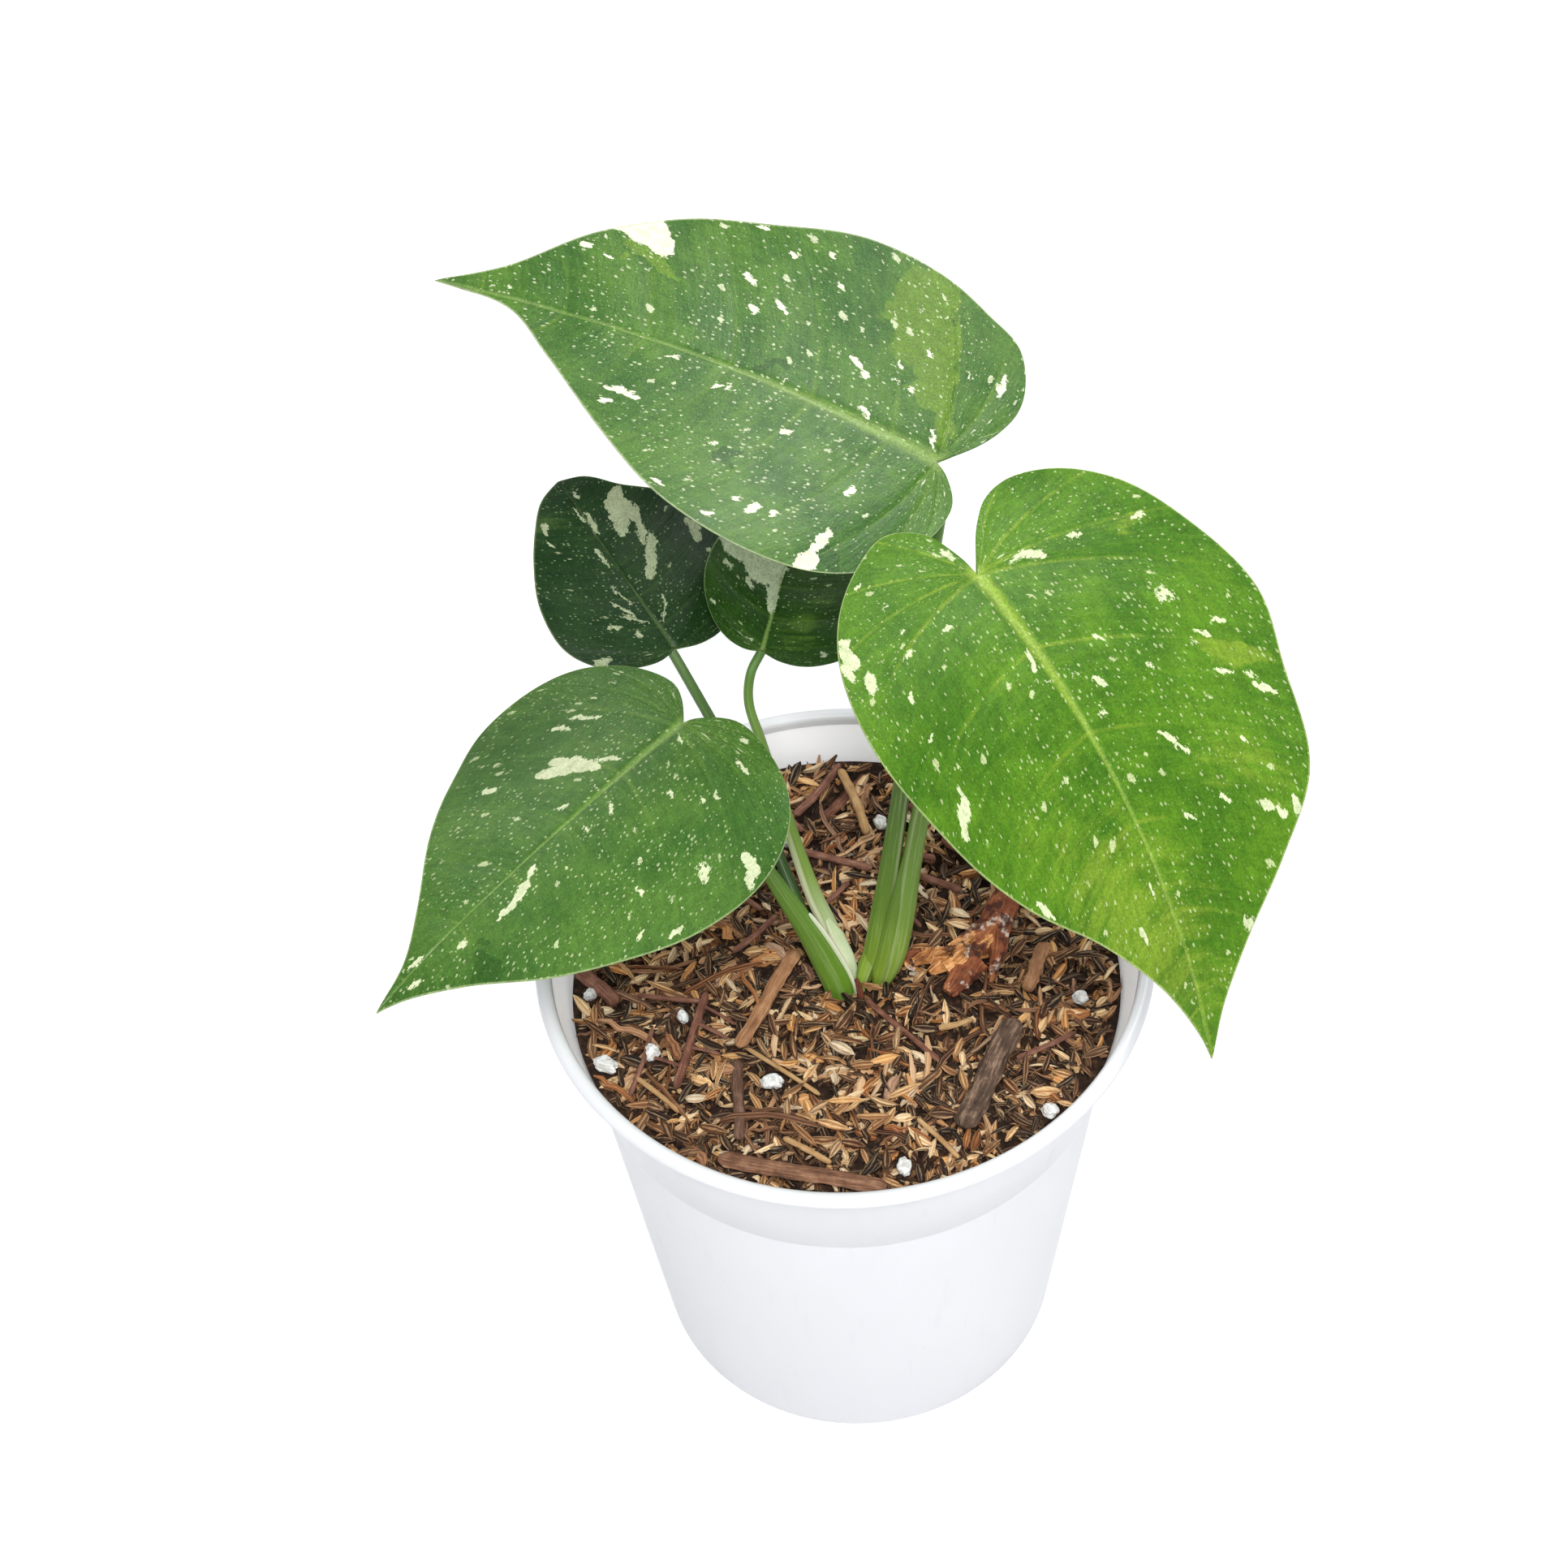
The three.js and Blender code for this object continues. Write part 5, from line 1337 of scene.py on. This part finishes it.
def scatter_tree():
    """Scatters the shapes of a collection over a surface, away from what stands in it."""
    group = bpy.data.node_groups.new("scatter loose pieces", "GeometryNodeTree")
    sockets = [("Surface", "NodeSocketGeometry"), ("Shapes", "NodeSocketCollection"),
               ("Keep clear of", "NodeSocketObject"), ("Clearance", FLOAT), ("Per square metre", FLOAT),
               ("Toward back", FLOAT), ("Seed", "NodeSocketInt"), ("Lowest", FLOAT), ("Highest", FLOAT),
               ("Smallest", FLOAT), ("Largest", FLOAT), ("Tip up", FLOAT), ("Roll", FLOAT),
               ("Finish", "NodeSocketMaterial")]
    identifiers = {}
    for label, kind in sockets:
        socket = group.interface.new_socket(name=label, in_out="INPUT", socket_type=kind)
        identifiers[label] = socket.identifier
    group.interface.new_socket(name="Pieces", in_out="OUTPUT", socket_type="NodeSocketGeometry")
    tree = Geometry(group)
    inside = group.nodes.new("NodeGroupInput").outputs
    result = group.nodes.new("NodeGroupOutput")
    seed = inside["Seed"]
    position = tree.add("GeometryNodeInputPosition").outputs[0]
    behind = tree.minus(tree.axis(position, "Y"), tree.times(tree.axis(position, "X"), 0.5))
    more = tree.plus(1.0, tree.times(tree.times(behind, 12.0), inside["Toward back"]))
    density = tree.times(inside["Per square metre"], tree.most(more, 0.1))
    spread = tree.add("GeometryNodeDistributePointsOnFaces",
                      {"Mesh": inside["Surface"], "Density": density, "Seed": seed})
    lift = tree.random("FLOAT", inside["Lowest"], inside["Highest"], seed)
    offset = tree.add("ShaderNodeCombineXYZ", {"Z": lift}).outputs[0]
    points = spread.outputs["Points"]
    raised = tree.add("GeometryNodeSetPosition", {"Geometry": points, "Offset": offset}).outputs[0]
    standing = tree.add("GeometryNodeObjectInfo", {"Object": inside["Keep clear of"]})
    nearest = tree.add("GeometryNodeProximity", {0: standing.outputs["Geometry"]})
    close = tree.math("LESS_THAN", nearest.outputs["Distance"], inside["Clearance"])
    kept = tree.add("GeometryNodeDeleteGeometry", {"Geometry": raised, "Selection": close}).outputs[0]
    tip, roll = inside["Tip up"], inside["Roll"]
    back = [tree.times(turned, -1.0) for turned in (roll, tip)]
    low = tree.add("ShaderNodeCombineXYZ", {"X": back[0], "Y": back[1]})
    high = tree.add("ShaderNodeCombineXYZ", {"X": roll, "Y": tip, "Z": 2 * math.pi})
    turn = tree.random("FLOAT_VECTOR", low.outputs[0], high.outputs[0], tree.plus(seed, 1.0))
    size = tree.random("FLOAT", inside["Smallest"], inside["Largest"], tree.plus(seed, 2.0))
    shapes = tree.add("GeometryNodeCollectionInfo",
                      {"Collection": inside["Shapes"], "Separate Children": True, "Reset Children": True})
    feeds = {"Points": kept, "Instance": shapes.outputs[0], "Pick Instance": True, "Rotation": turn,
             "Scale": size}
    placed = tree.add("GeometryNodeInstanceOnPoints", feeds).outputs[0]
    tint = tree.random("FLOAT", 0.0, 1.0, tree.plus(seed, 3.0))
    named = tree.add("GeometryNodeStoreNamedAttribute", {"Geometry": placed, "Name": "tint"},
                     data_type="FLOAT", domain="INSTANCE")
    tree.feed(next(s for s in named.inputs if s.name == "Value" and s.enabled), tint)
    realized = tree.add("GeometryNodeRealizeInstances", {"Geometry": named.outputs[0]}).outputs[0]
    finished = tree.add("GeometryNodeSetMaterial", {"Geometry": realized, "Material": inside["Finish"]})
    tree.feed(result.inputs["Pieces"], finished.outputs[0])
    return group, identifiers


def scatter(name, scatterer, surface, values):
    """One piece of scattered shapes as a plain mesh."""
    group, identifiers = scatterer
    piece = new_object(name, surface.data.copy())
    modifier = piece.modifiers.new("scatter", "NODES")
    modifier.node_group = group
    for label, value in values.items():
        modifier[identifiers[label]] = value
    bake_modifiers(piece)
    keep_in_pot(piece.data)
    hand_in(piece, "mix")


def keep_in_pot(mesh):
    """Bends back what would cross the pot's wall."""
    places = np.empty(3 * len(mesh.vertices), np.float32)
    mesh.vertices.foreach_get("co", places)
    places = places.reshape(-1, 3)
    reach = (mix_radius(places[:, 2] / MM) - PIECE_CLEARANCE) * MM
    radius = np.hypot(places[:, 0], places[:, 1])
    places[:, :2] *= np.minimum(1, reach / radius)[:, None]
    mesh.vertices.foreach_set("co", places.ravel())


def obstacles(pieces):
    """One mesh of everything that the loose pieces keep clear of, for the scattering alone."""
    work = bmesh.new()
    for piece in pieces:
        work.from_mesh(piece.data)
    mesh = bpy.data.meshes.new("obstacles")
    work.to_mesh(mesh)
    work.free()
    return new_object("obstacles", mesh)


def make_mix(standing):
    make_bed(dark_crumbs_and_shade_material())
    clear = obstacles(standing)
    inner = Skin()
    inner.grid(bed_top(BED_DEPTH, mix_radius(MIX_LEVEL) - SCATTER_INSET, SCATTER_RINGS, SCATTER_SIDES))
    surface = inner.piece("scatter_surface", [], sharp=80)
    shapes = {
        "husk": shape_collection("husk", husk_shape, HUSKS),
        "fibre": shape_collection("fibre", stick_shape, FIBRES),
        "crumb": shape_collection("crumb", stick_shape, CRUMBS, 4, 5),
    }
    finishes = {name: flake_material(name, *look) for name, look in LOOSE_FINISHES.items()}
    scatterer = scatter_tree()
    for name, (shape, finish, places, numbers) in LAYERS.items():
        values = {"Shapes": shapes[shape], "Finish": finishes[finish], "Keep clear of": clear}
        values.update(zip(("Clearance", "Lowest", "Highest"), [place * MM for place in places]))
        values.update(zip(LAYER_NUMBERS, numbers))
        scatter(name, scatterer, surface, values)
    bpy.data.objects.remove(surface)
    bpy.data.objects.remove(clear)


# Wood, roots and perlite

def wood_material(name, torn=None):
    """Split wood or bark: long grain with pale and dark streaks; torn colours the far end of the piece."""
    material, tree, shader = new_material(name, Specular_IOR_Level=0.3)
    dark, middle, pale = WOODS[name]
    grain = tree.uv("grain")
    place = tree.place()
    long_grain = tree.noise(tree.stretch(grain, (0.35, 2.6, 1)), 1.0, 5.0, 0.7)
    blotch = tree.noise(place, 240.0, 4.0, 0.65)
    tone = tree.plus(tree.times(long_grain, 0.65), tree.times(blotch, 0.35))
    colour = tree.ramp(tone, [(0.34, dark), (0.5, middle), (0.66, pale)])
    if torn:
        flesh = tree.ramp(tone, [(0.38, (0.10, 0.03, 0.015)), (0.47, (0.36, 0.13, 0.04)), (0.54, torn),
                                 (0.64, (0.90, 0.68, 0.42))])
        ragged = tree.times(tree.minus(blotch, 0.5), 1.2)
        share = tree.plus(tree.attribute("along"), ragged)
        colour = tree.mix(tree.step(share, 0.62, 0.74), colour, flesh)
        mould = tree.step(tree.noise(place, 130.0, 4.0, 0.6), 0.57, 0.63)
        colour = tree.mix(tree.times(mould, 0.7), colour, (0.82, 0.70, 0.60))
        scar = tree.step(tree.noise(place, 200.0, 4.0, 0.7), 0.47, 0.41)
        colour = tree.mix(tree.times(scar, 0.85), colour, dark)
    crack = tree.step(tree.noise(tree.stretch(grain, (0.2, 7.0, 1)), 1.0, 3.0, 0.6), 0.6, 0.68)
    colour = tree.mix(tree.times(crack, 0.6), colour, dark)
    coat(tree, shader, colour, tree.plus(0.6, tree.times(blotch, 0.3)))
    add_bump(tree, shader, tone, 0.0012, 0.8)
    return material


def add_rod(skin, path, swell, sides, steps, roughness, seed, first=0, last=1):
    """Adds a closed rod with grooves along it and lumps on it; its finish runs from first to last."""
    random = np.random.default_rng(seed)
    phases = random.uniform(0, 2 * np.pi, 6)
    line = even_steps(smooth_curve(path), steps)

    def lumpy(share, turn):
        half_width, half_depth = swell(share)
        grooves = np.cos(5 * turn + phases[0]) + 0.7 * np.cos(9 * turn + phases[1] + 4 * share)
        lumps = np.sin(21 * share + phases[2]) * np.cos(2 * turn + phases[3])
        lumps = lumps + 0.7 * np.sin(47 * share + phases[4]) * np.cos(3 * turn + phases[5])
        factor = 1 + roughness * (0.55 * grooves + 0.6 * lumps)
        return half_width * factor, half_depth * factor

    rings = tube_rings(line, sides, lumpy)
    along = np.concatenate([[0], np.linspace(0, 1, steps + 1), [1]])[:, None]
    length = np.linalg.norm(np.diff(line, axis=0), axis=1).sum()
    grain = np.stack(np.broadcast_arrays(along * length / 4, np.linspace(0, 6, sides + 1)[None, :]), -1)
    skin.grid(rings, grain=grain, along=first + (last - first) * along)


def stick_girth(width, thickness, tip, bluntness, share):
    """Half width and half thickness along a stick whose ends taper; tip is what its ends start from."""
    taper = np.clip(np.sin(np.pi * (tip + (1 - 2 * tip) * share)) * bluntness, 0, 1)
    return 0.5 * width * taper, 0.5 * thickness * taper


def rough_rod(name, path, swell, material, sides, steps, roughness, seed):
    skin = Skin(maps=("grain",), gaps=("along",))
    add_rod(skin, path, swell, sides, steps, roughness, seed)
    return skin.piece(name, [material], sharp=60)


def make_wood_chunk():
    finish = wood_material("torn woody stem", torn=(0.80, 0.36, 0.12))
    skin = Skin(maps=("grain",), gaps=("along",))
    add_rod(skin, WOOD_PATH, functools.partial(blend, WOOD_GIRTH), 44, 90, 0.11, 5)
    for index, (path, width, first, last, end) in enumerate(WOOD_SPLINTERS):
        taper = [[0, width, 0.8 * width], [0.6, (0.6 + 0.4 * end) * width, 0.65 * width],
                 [1, end * width, 0.6 * end * width]]
        girth = functools.partial(blend, taper)
        add_rod(skin, path, girth, 24, 44, 0.14, 80 + index, first, last)
    chunk = skin.piece("woody_stem_piece", [finish], sharp=60)
    hand_in(chunk, "old_wood", "woody_chunk")
    return [chunk]


def make_sticks():
    """Loose sticks between the husks, as two pieces: split pale wood and brown roots."""
    kinds = {
        "pale_sticks": ("pale_wood", PALE_STICKS, wood_material("straw sticks")),
        "brown_sticks": ("root", BROWN_STICKS, wood_material("brown sticks")),
    }
    pieces = []
    for name, (slot, sticks, finish) in kinds.items():
        skin = Skin(maps=("grain",), gaps=("along",))
        for index, (x0, y0, x1, y1, width) in enumerate(sticks):
            start = np.array([x0, y0, float(mix_height(x0, y0)) + 1.6])
            end = np.array([x1, y1, float(mix_height(x1, y1)) + 1.0])
            middle = (start + end) / 2 + np.array([0.3 * width, -0.3 * width, 0.5])
            girth = functools.partial(stick_girth, width, 0.8 * width, 0.04, 4)
            add_rod(skin, [start, middle, end], girth, 12, 30, 0.1, 100 + index)
        piece = skin.piece(name, [finish], sharp=60)
        hand_in(piece, slot)
        pieces.append(piece)
    return pieces


def make_slivers():
    """Bark, split wood and roots that lie on the mix, with the finish of their kind or their own."""
    woods = {"bark": "dull bark", "pale_wood": "pale split wood", "root": "brown root",
             "dark_bark": "cracked bark", "front_bark": "warm bark"}
    finishes = {use: wood_material(wood) for use, wood in woods.items()}
    slots = {s["node"]: s["material_slot"] for s in frame["record"]["subparts"]}
    pieces = []
    for index, (name, (start, end, width, thickness)) in enumerate(SLIVERS.items()):
        slot = slots[name]
        start, end = np.array(start, float), np.array(end, float)
        side = np.cross(end - start, [0, 0, 1.0])
        side /= np.linalg.norm(side)
        aside = side * 0.05 * width
        path = [start, start + (end - start) * 0.35 + aside, start + (end - start) * 0.7 - aside, end]
        girth = functools.partial(stick_girth, width, thickness, 0.03, 4.5)
        finish = finishes.get(name, finishes[slot])
        piece = rough_rod(name + "_piece", path, girth, finish, 28, 80, 0.12, 20 + index)
        hand_in(piece, slot, name)
        pieces.append(piece)
    finish = wood_material("dried sheath")
    girth = functools.partial(blend, SHEATH_GIRTH)
    sheath = rough_rod("dried_sheath_piece", SHEATH_PATH, girth, finish, 20, 30, 0.06, 40)
    hand_in(sheath, "dry_sheath", "dried_sheath")
    return pieces


def perlite_material():
    """Chalky white grains with pits."""
    material, tree, shader = new_material("perlite", Specular_IOR_Level=0.3)
    place = tree.place()
    pits = tree.cells(place, 1500.0).outputs["Distance"]
    cloud = tree.noise(place, 500.0, 4.0)
    colour = tree.mix(tree.step(cloud, 0.35, 0.6), (0.54, 0.52, 0.49), (0.78, 0.78, 0.78))
    coat(tree, shader, colour, tree.plus(0.8, tree.times(cloud, 0.15)))
    add_bump(tree, shader, tree.plus(pits, cloud), 0.0005, 0.7)
    return material


def make_perlite():
    finish = perlite_material()
    grains = []
    for index, (x, y, half_length, half_width) in enumerate(PERLITE):
        random = np.random.default_rng(60 + index)
        work = bmesh.new()
        bmesh.ops.create_icosphere(work, subdivisions=4, radius=1)
        push = random.normal(size=(7, 3))
        phase = random.uniform(0, 6, 7)
        for vertex in work.verts:
            direction = np.array(vertex.co)
            bumps = sum(math.sin(4.0 * (p @ direction) + f) for p, f in zip(push, phase))
            vertex.co *= 1 + 0.05 * bumps
            vertex.co.x *= half_length
            vertex.co.y *= half_width
            vertex.co.z *= PERLITE_HALF_HEIGHT
        lift = float(mix_height(x, y)) + PERLITE_LIFT
        spin = Matrix.Rotation(1.3 * index, 4, "Z")
        placing = Matrix.Scale(MM, 4) @ Matrix.Translation((x, y, lift)) @ spin
        bmesh.ops.transform(work, matrix=placing, verts=work.verts)
        node = f"perlite_{index + 1:02d}"
        mesh = bpy.data.meshes.new(node)
        work.to_mesh(mesh)
        work.free()
        grain = close_piece(node + "_grain", mesh, [finish], 60)
        hand_in(grain, "perlite", node)
        grains.append(grain)
    return grains


def dress_stem():
    """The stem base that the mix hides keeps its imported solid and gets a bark-green finish."""
    material, tree, shader = new_material("buried stem", Roughness=0.8)
    place = tree.place()
    rings = tree.noise(tree.stretch(place, (1, 1, 6)), 90.0, 4.0, 0.6)
    stops = [(0.3, (0.07, 0.06, 0.025)), (0.7, (0.2, 0.21, 0.08))]
    tree.feed(shader.inputs["Base Color"], tree.ramp(rings, stops))
    add_bump(tree, shader, rings, 0.001, 0.6)
    stem = frame["nodes"]["buried_stem"]
    stem.data.materials.clear()
    stem.data.materials.append(material)


set_stage()
make_leaves()
make_pot()
standing_pieces = [bpy.data.objects[name + "_leaf"] for name in LEAVES]
lying_pieces = make_wood_chunk() + make_slivers() + make_sticks() + make_perlite()
make_mix(standing_pieces + lying_pieces)
dress_stem()
